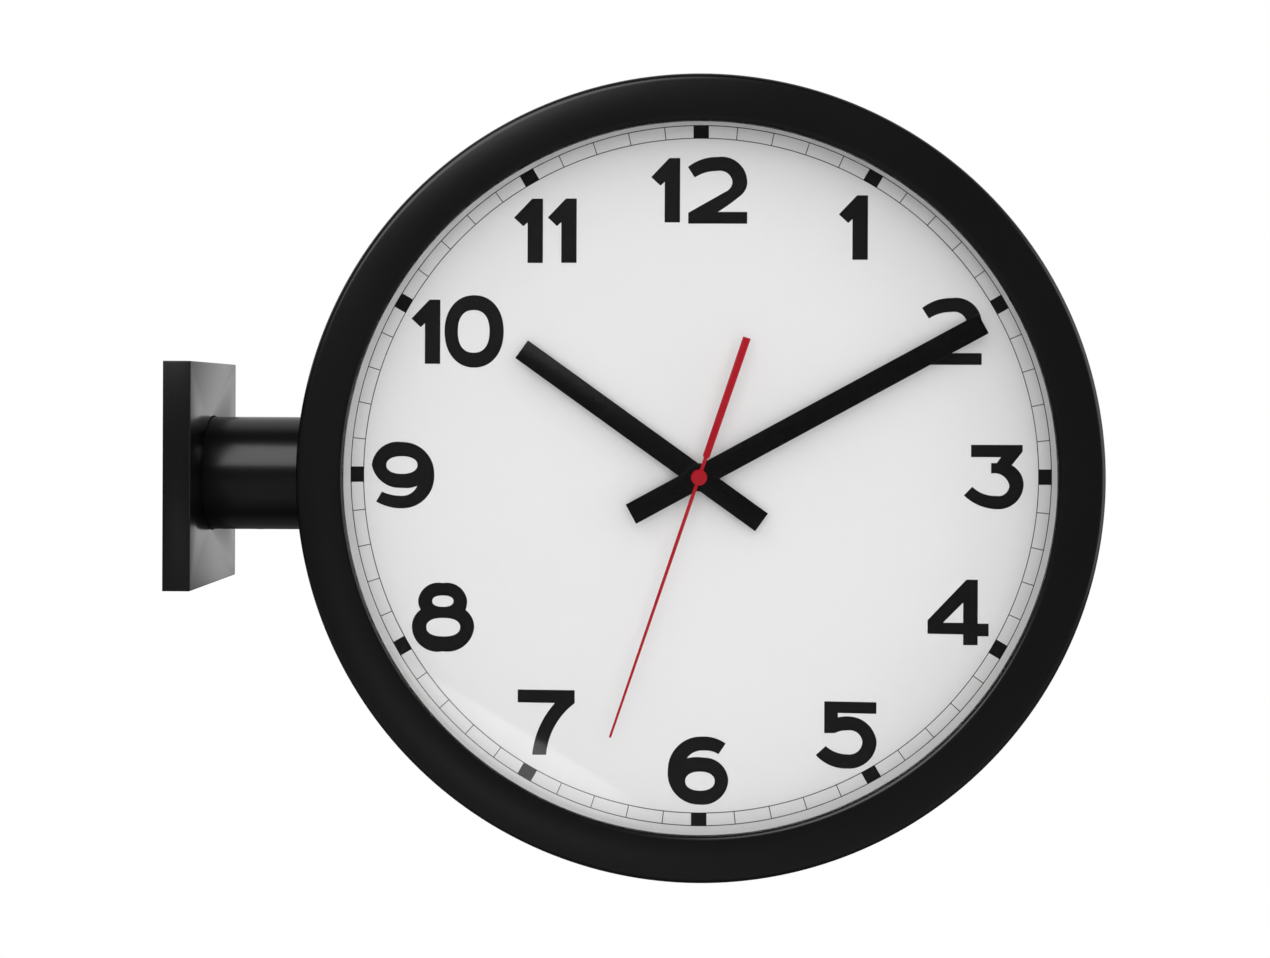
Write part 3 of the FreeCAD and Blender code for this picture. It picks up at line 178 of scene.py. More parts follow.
class ClockColours(bpy.types.PropertyGroup):
    """Base colours of the finishes."""
    coat: colour("Powder coat", "Black coating of the head and the arm", (0.005, 0.005, 0.0053))
    ink: colour("Ink", "Print on the dials", (0.005, 0.005, 0.0055))
    track_ink: colour("Track ink", "Fine lines of the minute track", (0.045, 0.045, 0.047))
    dial: colour("Dial", "White ground of the dials", (0.84, 0.84, 0.84))
    hand_black: colour("Hand black", "Lacquer of the hour and minute hands", (0.002, 0.002, 0.002))
    hand_red: colour("Hand red", "Lacquer of the second hands", (0.41, 0.001, 0.011))
    rubber: colour("Rubber", "Gaskets", (0.014, 0.014, 0.014))
    zinc: colour("Zinc", "Plated steel", (0.60, 0.61, 0.62))
    brass: colour("Brass", "Nuts, washers and pinions", (0.72, 0.49, 0.20))
    copper: colour("Copper", "Coil winding", (0.62, 0.20, 0.07))
    nickel: colour("Nickel", "Battery contacts", (0.66, 0.62, 0.55))
    board: colour("Board", "Solder mask of the circuit boards", (0.012, 0.11, 0.035))
    white: colour("White plastic", "Moulded wheels and spacer rings", (0.76, 0.755, 0.73))
    plastic: colour("Plastic", "Movement cases and setting knobs", (0.017, 0.017, 0.018))
    jacket: colour("Cell jacket", "Body of the battery cells", (0.035, 0.04, 0.05))
    jacket_band: colour("Cell band", "Band at the plus end of the cells", (0.55, 0.24, 0.07))
    cell_end: colour("Cell end", "Bare metal at the ends of the cells", (0.62, 0.6, 0.57))
    magnet: colour("Magnet", "Rotors", (0.05, 0.048, 0.045))
    oxide: colour("Oxide", "Black oxide on the screws", (0.012, 0.012, 0.013))
    worn_oxide: colour("Worn oxide", "The same oxide where it is worn", (0.028, 0.027, 0.026))


class ClockStudio(bpy.types.PropertyGroup):
    """The camera and the light around the clock."""
    focal_length: level("Focal length", "Lens of the camera in millimetres on a 36 mm sensor", 65.61)
    camera_roll: turn("Camera roll", "How far the camera is turned anticlockwise about its own axis", 0.214)
    key_light: level("Key light", "Watts of the soft lamp at the upper left on matt surfaces", 3.0)
    key_glow: level("Key glow", "Watts of that lamp as glossy surfaces see it", 29.0)
    side_light: level("Side light", "Watts of the tall lamp at the right", 10.0)
    ambient: level("Ambient", "Light from all round on matt surfaces", 0.64)
    front_light: level("Front light", "Light that matt surfaces get from around the camera", 1.95)
    overhead: level("Overhead share", "How much more of the ambient comes from above than from below", 0.75)
    backdrop: level("Backdrop", "Brightness that glossy surfaces see behind the clock", 0.64)
    backdrop_foot: level("Backdrop foot", "Brightness that they see behind and under the clock", 0.12)
    front_room: level("Front room", "Brightness that they see in front of the clock", 0.045)
    front_card: level("Front card", "Brightness of the card that they see in front and below", 0.18)
    window_card: level("Window card", "Brightness of the card that the glass mirrors at the lower left", 1.0)
    floor_drop: length("Floor drop", "How far the floor lies under the clock's axis", 620.0)


# --- building meshes ---
TURN_STEPS = 256
TUBE_STEPS = 160
HOLE_STEPS = 128
MIDDLE_STEPS = 96
SMALL_STEPS = 48
THREAD_STEPS = 32
PIN_STEPS = 16
HEXAGON = 6
CORNER_STEPS = 6
COVER_EDGE_STEPS = 4
HOLE_EDGE_STEPS = 3
ARC_STEPS = 10
OVAL_STEPS = 64
SMOOTH_ANGLE = math.radians(32)  # edges under it look smooth
STAMPED_ANGLE = 1.0  # radians; edges over it are a plate's rim
WELD = 0.0005 * MM  # points closer than this are one
NEAR = 0.02 * MM
CLEAR = 1.0 * MM  # how far a cutter stands out of what it cuts
THREAD_REACH = 20 * MM
FAR = 1.0  # metres, past the whole clock


def turned(section, steps=TURN_STEPS):
    """A solid turned about the dial's axis from points of a radius, a depth and, at some, a rounding."""
    mesh = bmesh.new()
    corners = [mesh.verts.new((radius, depth, 0)) for radius, depth, *rounding in section]
    mesh.faces.new(corners)
    for corner, (radius, depth, *rounding) in zip(corners, section):
        if rounding and rounding[0] > 0:
            bmesh.ops.bevel(
                mesh, geom=[corner], offset=rounding[0], offset_type="OFFSET", segments=CORNER_STEPS,
                profile=0.5, affect="VERTICES", material=-1,
            )
    bmesh.ops.delete(mesh, geom=mesh.faces[:], context="FACES_ONLY")
    on_axis = [edge for edge in mesh.edges if all(abs(vert.co.x) < WELD for vert in edge.verts)]
    bmesh.ops.delete(mesh, geom=on_axis, context="EDGES")
    outline = mesh.verts[:] + mesh.edges[:]
    bmesh.ops.spin(
        mesh, geom=outline, cent=(0, 0, 0), axis=(0, 1, 0), angle=math.tau, steps=steps, use_merge=True
    )
    bmesh.ops.remove_doubles(mesh, verts=mesh.verts[:], dist=WELD)
    bmesh.ops.recalc_face_normals(mesh, faces=mesh.faces[:])
    return mesh


def bar(radius, start, end, steps=SMALL_STEPS):
    """A round bar up along Z."""
    mesh = bmesh.new()
    bmesh.ops.create_cone(
        mesh, cap_ends=True, cap_tris=False, segments=steps, radius1=radius, radius2=radius,
        depth=end - start, matrix=Matrix.Translation((0, 0, (start + end) / 2)),
    )
    return mesh


def block(low, high):
    mesh = bmesh.new()
    low = Vector(low)
    high = Vector(high)
    scale = Matrix.Diagonal((*(high - low), 1))
    bmesh.ops.create_cube(mesh, size=1.0, matrix=Matrix.Translation((low + high) / 2) @ scale)
    return mesh


def moved(mesh, matrix):
    bmesh.ops.transform(mesh, matrix=matrix, verts=mesh.verts[:])
    return mesh


def as_data(mesh, name="spare"):
    """A mesh as Blender data; the mesh itself is used up."""
    data = bpy.data.meshes.new(name)
    mesh.to_mesh(data)
    mesh.free()
    return data


def copies(mesh, matrices):
    """One mesh with a copy of the given one at each matrix."""
    data = as_data(mesh)
    whole = bmesh.new()
    for matrix in matrices:
        copy = data.copy()
        copy.transform(matrix)
        whole.from_mesh(copy)
        bpy.data.meshes.remove(copy)
    bpy.data.meshes.remove(data)
    return whole


def gathered(*meshes):
    """One mesh that holds all the given ones as they are."""
    whole = bmesh.new()
    for mesh in meshes:
        data = as_data(mesh)
        whole.from_mesh(data)
        bpy.data.meshes.remove(data)
    return whole


def add_object(name, data):
    thing = bpy.data.objects.new(name, data)
    bpy.context.scene.collection.objects.link(thing)
    return thing


def loose_object(mesh, name):
    return add_object(name, as_data(mesh, name))


def carved(mesh, tool, operation="DIFFERENCE"):
    """Cuts one closed mesh with another, or joins them."""
    piece = loose_object(mesh, "carved")
    cutter = loose_object(tool, "cutter")
    modifier = piece.modifiers.new("Carve", "BOOLEAN")
    modifier.operation = operation
    modifier.solver = "EXACT"
    modifier.object = cutter
    result = bmesh.new()
    result.from_object(piece, bpy.context.evaluated_depsgraph_get())
    for used in (piece, cutter):
        data = used.data
        bpy.data.objects.remove(used)
        bpy.data.meshes.remove(data)
    return result


def rounded(mesh, edges, size, segments=2):
    bmesh.ops.bevel(
        mesh, geom=edges, offset=size, offset_type="OFFSET", segments=segments, profile=0.5,
        affect="EDGES", material=-1, clamp_overlap=True,
    )


def arc_centre(start, middle, end):
    """The centre of the circle through three points of a flat outline."""
    a = Vector(middle) - Vector(start)
    b = Vector(end) - Vector(start)
    cross = 2 * (a.x * b.y - a.y * b.x)
    across = Vector((b.y * a.length_squared - a.y * b.length_squared,
                     a.x * b.length_squared - b.x * a.length_squared))
    return Vector(start) + across / cross


def arc_points(start, middle, end):
    """The points after the start of the arc that runs through a middle point to the end."""
    centre = arc_centre(start, middle, end)
    spokes = [Vector(point) - centre for point in (start, middle, end)]
    angles = [math.atan2(spoke.y, spoke.x) for spoke in spokes]
    sweep = (angles[2] - angles[0]) % math.tau
    if (angles[1] - angles[0]) % math.tau > sweep:
        sweep -= math.tau
    radius = spokes[0].length
    points = []
    for step in range(1, ARC_STEPS + 1):
        angle = angles[0] + sweep * step / ARC_STEPS
        points.append((centre.x + radius * math.cos(angle), centre.y + radius * math.sin(angle)))
    return points


def outline_points(outline):
    """The points of an outline: a pair is a corner, four numbers are an arc's middle and its end."""
    points = [outline[0]]
    for place in outline[1:]:
        if len(place) == 2:
            points.append(place)
        else:
            points.extend(arc_points(points[-1], place[:2], place[2:]))
    return points


def oval_points(across, up, half_width, half_height, squareness, steps=OVAL_STEPS):
    """An oval whose sides are fuller than an ellipse's where its squareness is over two."""
    points = []
    for step in range(steps):
        angle = math.tau * step / steps
        cos = math.cos(angle)
        sin = math.sin(angle)
        points.append((
            across + half_width * math.copysign(abs(cos) ** (2 / squareness), cos),
            up + half_height * math.copysign(abs(sin) ** (2 / squareness), sin),
        ))
    return points


def circle_points(radius, steps=SMALL_STEPS):
    return oval_points(0, 0, radius, radius, 2, steps)


def plate(outlines, front, back, rim=0.0):
    """A flat plate that lies across the dial's axis; outlines inside another one are holes."""
    mesh = bmesh.new()
    for points in outlines:
        verts = [mesh.verts.new((across, back, up)) for across, up in points]
        for before, after in zip(verts[-1:] + verts[:-1], verts):
            mesh.edges.new((before, after))
    bmesh.ops.triangle_fill(mesh, use_beauty=True, use_dissolve=False, edges=mesh.edges[:])
    raised = bmesh.ops.extrude_face_region(mesh, geom=mesh.faces[:])
    verts = [item for item in raised["geom"] if isinstance(item, bmesh.types.BMVert)]
    bmesh.ops.translate(mesh, verts=verts, vec=(0, front - back, 0))
    bmesh.ops.recalc_face_normals(mesh, faces=mesh.faces[:])
    if rim > 0:
        edges = []
        for edge in mesh.edges:
            at_front = all(vert.co.y < front + WELD for vert in edge.verts)
            if at_front and edge.calc_face_angle(0) > STAMPED_ANGLE:
                edges.append(edge)
        rounded(mesh, edges, rim)
    return mesh


# --- setting pieces in the scene ---
def add_piece(mesh, name, body, slot, *nodes, look=None):
    """Puts a finished mesh in the scene as one piece on its body, in place of the named nodes."""
    for face in mesh.faces:
        face.smooth = True
    for edge in mesh.edges:
        edge.smooth = len(edge.link_faces) == 2 and edge.calc_face_angle(math.pi) < SMOOTH_ANGLE
    piece = loose_object(mesh, name)
    piece.data.materials.append(finish(look or slot))
    if nodes:
        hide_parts(*nodes)
    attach(piece, body)


def add_on_sides(mesh, name, slot, node=None, body=None, look=None):
    """Puts a front mesh on both sides, each named after its side, on the clock or a side's own body."""
    for side, matrix in SIDES.items():
        nodes = [f"{side}_{node}"] if node else []
        carrier = f"{side}_{body}" if body else "clock"
        add_piece(moved(mesh.copy(), matrix), f"{side}_{name}", carrier, slot, *nodes, look=look)
    mesh.free()


# --- shader trees ---
def operation(name, reflected=False):
    """A method of a value that adds one Math node."""
    def apply(self, other):
        first, second = (other, self) if reflected else (self, other)
        return self.tree.math(name, first, second)
    return apply


class Value:
    """One output of a tree's nodes; sums, products and powers of values add Math nodes."""

    def __init__(self, tree, output):
        self.tree = tree
        self.output = output

    __add__, __radd__ = operation("ADD"), operation("ADD", True)
    __sub__, __rsub__ = operation("SUBTRACT"), operation("SUBTRACT", True)
    __mul__, __rmul__ = operation("MULTIPLY"), operation("MULTIPLY", True)
    __pow__ = operation("POWER")


class ShaderTree:
    """The nodes of one material or world."""

    def __init__(self, owner):
        owner.use_nodes = True
        self.nodes = owner.node_tree.nodes
        self.links = owner.node_tree.links
        self.nodes.clear()

    def node(self, kind, settings=None, inputs=None):
        """Adds a node with its settings, then the values or links of its sockets."""
        node = self.nodes.new(kind)
        for name, setting in (settings or {}).items():
            setattr(node, name, setting)
        for name, value in (inputs or {}).items():
            if isinstance(value, Value):
                self.links.new(value.output, node.inputs[name])
            else:
                node.inputs[name].default_value = value
        return node

    def value(self, node, output=0):
        return Value(self, node.outputs[output])

    def math(self, operation, first, second):
        return self.value(self.node("ShaderNodeMath", {"operation": operation}, {0: first, 1: second}))

    def clamped(self, value, low, high):
        """Maps a value between two levels to 0 to 1, smoothly."""
        settings = {"interpolation_type": "SMOOTHSTEP", "clamp": True}
        return self.value(self.node("ShaderNodeMapRange", settings, {0: value, 1: low, 2: high}))

    def place(self):
        """Where a point lies in the clock's own frame, in metres."""
        return self.value(self.node("ShaderNodeTexCoord"), "Object")

    def parts(self, vector):
        node = self.node("ShaderNodeSeparateXYZ", None, {0: vector})
        return [self.value(node, axis) for axis in range(3)]

    def noise(self, place, grain, detail=2.0, roughness=0.5):
        """Noise from 0 to 1 whose lumps are about as wide as the grain, in metres."""
        inputs = {"Vector": place, "Scale": 1 / grain, "Detail": detail, "Roughness": roughness}
        return self.value(self.node("ShaderNodeTexNoise", {"noise_dimensions": "3D"}, inputs))

    def mix(self, factor, first, second):
        """A colour between two others."""
        inputs = {0: factor, 6: opaque(first), 7: opaque(second)}
        return self.value(self.node("ShaderNodeMix", {"data_type": "RGBA"}, inputs), 2)

    def bump(self, height, distance):
        inputs = {"Height": height, "Distance": distance, "Strength": 1.0}
        return self.value(self.node("ShaderNodeBump", None, inputs))

    def surface(self, **inputs):
        """Ends a material in one Principled shader; socket names have underscores here."""
        named = {name.replace("_", " "): opaque(value) for name, value in inputs.items()}
        shader = self.node("ShaderNodeBsdfPrincipled", None, named)
        self.node("ShaderNodeOutputMaterial", None, {"Surface": self.value(shader)})


def opaque(value):
    """A colour of three numbers with its alpha; anything else as it is."""
    if isinstance(value, (Value, float, int)):
        return value
    value = tuple(value)
    return value + (1.0,) if len(value) == 3 else value


def shaded(base, factor):
    return tuple(min(channel * factor, 1.0) for channel in base)


# --- finishes ---
def clouded(colour, cloud, shades, roughness, grain=None, specks=None, metal=0.0, specular=0.5, **others):
    """A finish whose colour and sheen drift in clouds. The colour is the name of one, or of the dark
    and the light one; the cloud is a width and a detail, the shades are the least and greatest share
    of the colour, the roughness is the least and what the clouds add, the grain is a width, a detail
    and a height, and the specks are a width, a detail and what they add to the roughness. Widths
    and heights are millimetres."""
    def build(tree, colours):
        place = tree.place()
        drift = tree.noise(place, cloud[0] * MM, cloud[1])
        names = (colour, colour) if isinstance(colour, str) else colour
        dark, light = (shaded(getattr(colours, name), shade) for name, shade in zip(names, shades))
        sheen = roughness[0] + drift * roughness[1]
        if specks:
            sheen = sheen + tree.noise(place, specks[0] * MM, specks[1]) * specks[2]
        inputs = {"Base_Color": tree.mix(drift, dark, light), "Roughness": sheen, "Metallic": metal}
        if grain:
            width, detail, height = grain
            inputs["Normal"] = tree.bump(tree.noise(place, width * MM, detail), height * MM)
        tree.surface(Specular_IOR_Level=specular, **others, **inputs)
    return build


def clear_acrylic(tree, colours):
    """A clear pane: it shows what lies behind it, and reflects more where it is seen flatly."""
    facing = tree.value(tree.node("ShaderNodeLayerWeight", None, {"Blend": 0.5}), "Facing")
    smear = tree.noise(tree.place(), 90 * MM, 2.0)
    tree.surface(
        Base_Color=(1.0, 1.0, 1.0),
        Metallic=1.0,
        Roughness=0.015 + smear * 0.02,
        Alpha=facing ** 5 * 0.96 + 0.04,
    )


def plated_zinc(tree, colours):
    """Bright zinc plate: a faint spangle and rolling marks, duller in clouds."""
    place = tree.place()
    spangle = tree.noise(place, 5 * MM, 4.0, 0.6)
    roll = tree.node("ShaderNodeMapping", {"vector_type": "POINT"}, {"Vector": place, "Scale": (1, 30, 1)})
    marks = tree.noise(tree.value(roll), 8 * MM, 3.0)
    tree.surface(
        Base_Color=tree.mix(spangle, shaded(colours.zinc, 0.82), shaded(colours.zinc, 1.12)),
        Metallic=1.0,
        Roughness=0.28 + spangle * 0.14 + marks * 0.06,
        Normal=tree.bump(marks, 0.004 * MM),
    )


def cell_jacket(tree, colours):
    """A plain printed film: a dark body, a warm band at the plus end and bare metal at both ends."""
    place = tree.place()
    along, across, up = tree.parts(place)
    outward = tree.math("ABSOLUTE", along - HEAD_X, 0.0)
    low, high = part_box("front_battery")
    half = (high[0] - low[0]) / 2
    band = tree.clamped(outward, half * 0.55, half * 0.56)
    metal = tree.clamped(outward, half - 1.3 * MM, half - 1.2 * MM)
    scuff = tree.noise(place, 6 * MM, 4.0)
    film = tree.mix(band, colours.jacket, colours.jacket_band)
    tree.surface(
        Base_Color=tree.mix(metal, film, colours.cell_end),
        Metallic=metal,
        Roughness=0.22 + scuff * 0.15,
        Coat_Weight=0.3,
    )


def solder_mask(tree, colours):
    """Green mask with paler copper tracks under it."""
    place = tree.place()
    inputs = {"Vector": place, "Scale": 420.0}
    cells = tree.value(tree.node("ShaderNodeTexVoronoi", {"feature": "DISTANCE_TO_EDGE"}, inputs))
    tracks = 1 - tree.clamped(cells, 0.06, 0.1)
    tree.surface(
        Base_Color=tree.mix(tracks, colours.board, shaded(colours.board, 2.0)),
        Roughness=0.3,
        Normal=tree.bump(tracks, 0.03 * MM),
    )


def copper_winding(tree, colours):
    """Fine enamelled wire in turns side by side along the coil."""
    place = tree.place()
    along, across, up = tree.parts(place)
    turns = tree.math("SINE", along * (math.tau / (0.22 * MM)), 0.0)
    cloud = tree.noise(place, 1.5 * MM, 2.0)
    tree.surface(
        Base_Color=tree.mix(cloud, shaded(colours.copper, 0.75), shaded(colours.copper, 1.1)),
        Metallic=1.0,
        Roughness=0.28 + cloud * 0.1,
        Normal=tree.bump(turns, 0.03 * MM),
    )


FINISHES = {
    "black_coating": clouded(
        "coat", (45, 3), (0.9, 1.12), (0.2, 0.04), grain=(1.1, 2, 0.012), specks=(0.35, 1, 0.02), IOR=1.45
    ),
    "zinc_steel": plated_zinc,
    "black_screws": clouded(("oxide", "worn_oxide"), (2, 3), (1, 1), (0.3, 0.16), (2, 3, 0.005), metal=0.5),
    "brass": clouded("brass", (3, 3), (0.8, 1.08), (0.24, 0.12), (0.15, 1, 0.003), metal=1.0),
    "black_rubber": clouded("rubber", (12, 4), (0.8, 1.5), (0.7, 0.12), (0.25, 2, 0.02), specular=0.3),
    "nickel_spring": clouded("nickel", (4, 3), (0.88, 1.05), (0.2, 0.12), metal=1.0),
    "clear_lens": clear_acrylic,
    "black_plastic": clouded("plastic", (25, 2), (0.85, 1.2), (0.42, 0.08), (0.3, 2, 0.012), specular=0.4),
    "white_dial": clouded(
        "dial", (60, 2), (0.99, 1.01), (0.48, 0), grain=(0.4, 2, 0.002), specks=(0.4, 2, 0.06), specular=0.35
    ),
    "cell_jacket": cell_jacket,
    "green_board": solder_mask,
    "copper_wire": copper_winding,
    "white_plastic": clouded("white", (3, 2), (0.94, 1.03), (0.34, 0.08), (0.2, 2, 0.004)),
    "dark_magnet": clouded("magnet", (0.25, 3), (0.7, 1.4), (0.45, 0.12), (0.25, 3, 0.01), metal=0.6),
    "black_hand": clouded("hand_black", (14, 3), (0.9, 1.15), (0.24, 0.06), (0.3, 1, 0.004), specular=0.15),
    "red_hand": clouded("hand_red", (8, 2), (0.95, 1.05), (0.18, 0.05), (0.3, 2, 0.003), specular=0.2),
    "ink": clouded("ink", (6, 2), (0.9, 1.1), (0.34, 0.06), (0.3, 2, 0.002), specular=0.2),
    "track_ink": clouded("track_ink", (4, 2), (0.85, 1.15), (0.5, 0.06), specular=0.3),
}


def finish(name):
    """The material of a finish, made when it is first asked for."""
    title = "finish_" + name
    if title not in bpy.data.materials:
        material = bpy.data.materials.new(title)
        FINISHES[name](ShaderTree(material), bpy.context.scene.clock_colours)
    return bpy.data.materials[title]


# --- the numerals ---
# Outlines in millimetres from each numeral's middle: a pair is a corner, four numbers are an
# arc's middle and its end. OVAL starts an oval: its middle, half width, half height, squareness.
OVAL = "oval"
CLOSED = 0.01
GLYPHS = {
    "0": [
        (OVAL, 0.0, 0.0, 13.1, 16.0, 2.15),
        (OVAL, -0.2, 0.0, 7.0, 9.4, 2.35),
    ],
    "1": [
        [(-6.4, 5.8), (1.6, 14.2), (6.4, 14.2), (6.4, -14.2), (-0.4, -14.2), (-0.4, 3.7), (-2.3, 2.0)],
    ],
    "2": [
        [(-13.1, 10.2), (-7.1, 13.5, -0.1, 14.6), (9.2, 12.0, 13.1, 4.0), (12.2, 0.0, 9.7, -2.8),
         (5.3, -6.2, 0.2, -9.6), (13.1, -9.6), (13.1, -14.8), (-12.9, -14.8), (-12.9, -10.0),
         (3.5, -0.7), (5.8, 1.2, 6.5, 4.0), (4.6, 7.2, -0.4, 8.4), (-5.4, 7.7, -10.1, 5.5)],
    ],
    "3": [
        [(-10.0, 14.2), (12.6, 14.2), (12.6, 11.3), (7.9, 5.3), (11.8, 1.5, 13.1, -3.7),
         (9.4, -11.3, 0.9, -14.1), (-6.8, -12.3, -13.1, -8.1), (-9.4, -4.2), (-4.6, -7.3, 0.9, -8.2),
         (5.3, -7.0, 6.8, -3.7), (4.5, 0.2, -1.2, 1.6), (-1.2, 6.2), (1.3, 6.2), (3.1, 8.8),
         (-10.0, 8.8)],
    ],
    "4": [
        [(3.6, 14.4), (8.6, 14.4), (8.6, -4.9), (13.4, -4.9), (13.4, -10.5), (8.6, -10.5),
         (8.6, -14.4), (2.2, -14.4), (2.2, -9.7), (-13.4, -9.5), (-13.4, -3.5)],
        [(2.2, 4.3), (2.2, -4.6), (-6.6, -4.6)],
    ],
    "5": [
        [(-9.7, 14.8), (13.2, 14.5), (13.2, 9.4), (-3.7, 9.7), (-3.7, 7.7), (-0.8, 8.2, 1.5, 8.2),
         (10.1, 4.2, 13.4, -3.2), (9.7, -11.4, 0.2, -14.8), (-7.1, -13.4, -13.4, -8.9), (-9.0, -4.9),
         (-4.5, -7.6, 0.5, -8.5), (5.3, -7.0, 7.1, -3.0), (5.1, 0.8, 0.2, 2.0), (-2.3, 1.8, -4.9, 0.8),
         (-9.7, 0.8)],
    ],
    "6": [
        [(12.2, 12.1), (7.5, 14.4, 1.9, 15.1), (-8.9, 10.9, -13.3, 0.4), (-9.7, -10.6, 0.6, -15.0),
         (9.7, -12.1, 13.4, -4.7), (10.3, 2.8, 2.8, 5.8), (-1.2, 6.0, -4.9, 5.5), (-1.8, 8.1, 2.5, 8.9),
         (6.0, 8.6, 9.0, 7.3)],
        (OVAL, 0.9, -4.6, 6.5, 4.2, 2.2),
    ],
    "7": [
        [(-12.6, 14.4), (12.6, 14.2), (12.6, 8.5), (3.6, -2.1, 0.0, -14.4), (-6.1, -14.4),
         (-2.5, -1.0, 3.8, 8.5), (-12.6, 8.7)],
    ],
    "8": [
        [(10.0, 3.2), (12.9, -0.2, 13.8, -4.8), (9.6, -12.5, -0.1, -15.1), (-10.0, -12.5, -13.8, -4.8),
         (-12.9, -0.2, -10.0, 3.3), (-10.8, 5.3, -11.1, 7.3), (-8.3, 12.9, -0.2, 15.1),
         (7.8, 12.9, 10.7, 7.3), (10.5, 5.2, 10.0, 3.2)],
        (OVAL, -0.1, 7.1, 4.7, 2.5, 2.3),
        (OVAL, 0.1, -4.4, 7.5, 4.1, 2.3),
    ],
    "9": [
        [(-11.9, -11.8), (-6.2, -14.1, -0.2, -14.8), (9.9, -10.5, 13.9, 0.3), (9.4, 10.9, -0.4, 14.6),
         (-10.1, 11.8, -13.9, 4.5), (-10.3, -2.2, -0.4, -5.7), (3.1, -5.7, 6.3, -4.8),
         (3.8, -7.9, -0.2, -9.2), (-4.9, -8.8, -9.3, -7.4)],
        (OVAL, -0.5, 4.4, 6.9, 3.9, 2.2),
    ],
}

# Each printed figure with the place of its middle, in millimetres right and up from the axis.
NUMERALS = [
    ("1", -15.6, 125.8), ("2", 7.3, 125.9),
    ("1", 67.1, 109.5),
    ("2", 110.5, 64.0),
    ("3", 129.1, -0.1),
    ("4", 113.7, -59.6),
    ("5", 64.8, -113.9),
    ("6", -0.4, -130.1),
    ("7", -67.5, -109.2),
    ("8", -113.3, -63.1),
    ("9", -131.3, -0.3),
    ("1", -121.4, 63.1), ("0", -100.0, 63.3),
    ("1", -76.1, 107.8), ("1", -61.2, 107.9),
]


def glyph_outlines(figure, across, up):
    """A figure's outlines in metres, set at its place."""
    outlines = []
    for outline in GLYPHS[figure]:
        points = oval_points(*outline[1:]) if outline[0] == OVAL else outline_points(outline)
        if math.dist(points[0], points[-1]) < CLOSED:
            points = points[:-1]
        outlines.append([((x + across) * MM, (y + up) * MM) for x, y in points])
    return outlines


# --- the stage ---
CAMERA_PLACE = (0.2295, -1.0479, 0.0320)
CAMERA_TARGET = (0.20476, -0.0500, 0.0320)
CAMERA_SHIFT = -0.0591
SENSOR_WIDTH = 36.0
KEY_PLACE = (-0.72, -1.80, 1.47)
GLOW_PLACE = (-0.64, -1.65, 1.35)
SIDE_PLACE = (1.9, -0.35, 0.25)
KEY_SIZE = (1.7, 1.65)
SIDE_SIZE = (1.2, 1.6)
FLOOR_RADIUS = 1.6
FLOOR_STEPS = 96
FLOOR_FADE = (0.6, 1.5)
FLOOR_COLOUR = (0.92, 0.92, 0.92, 1.0)
FLOOR_LIFT = 0.12
WHITE = (1.0, 1.0, 1.0, 1.0)

# Where each band of the world's light starts and where it is full, as how far a direction points
# right, back or up.
BACKDROP_EDGE = (-0.05, 0.42)
BACKDROP_FOOT = (-0.22, -0.08)
BACKDROP_MIDDLE = (0.9, 0.99)
MIDDLE_GAIN = 0.4
ROOM_EDGE = (0.1, -0.3)
FRONT_CARD_TOP = (-0.08, -0.4)
FRONT_CARD_FOOT = (-0.97, -0.75)
DARK_CEILING = (0.75, 0.95)
CARD_SLOPE = 0.59
CARD_TOP = (-0.181, -0.184)
CARD_FOOT = (-0.27, -0.23)
CARD_RIGHT = (-0.01, -0.04)
CARD_LEFT = (-0.17, -0.15)
AMBIENT_LEAN = 0.35
NEAR_CAMERA = (-0.78, -1.0)


def aim(place, target, roll=0.0):
    """A matrix at a place whose -Z looks at the target, with Y up but for its roll."""
    turned_to = (Vector(target) - Vector(place)).to_track_quat("-Z", "Y")
    return Matrix.Translation(place) @ turned_to.to_matrix().to_4x4() @ Matrix.Rotation(roll, 4, "Z")


def add_lamp(name, place, size, watts):
    """A soft lamp that points at the middle of the head."""
    data = bpy.data.lights.new(name, "AREA")
    data.shape = "RECTANGLE"
    data.size, data.size_y = size
    data.energy = watts
    lamp = add_object(name, data)
    lamp.matrix_world = aim(place, (HEAD_X, 0, 0))
    lamp.visible_camera = False
    return lamp


def add_camera(studio):
    data = bpy.data.cameras.new("camera")
    data.sensor_width = SENSOR_WIDTH
    data.lens = studio.focal_length
    data.shift_y = CAMERA_SHIFT
    camera = add_object("camera", data)
    camera.matrix_world = aim(CAMERA_PLACE, CAMERA_TARGET, studio.camera_roll)
    bpy.context.scene.camera = camera


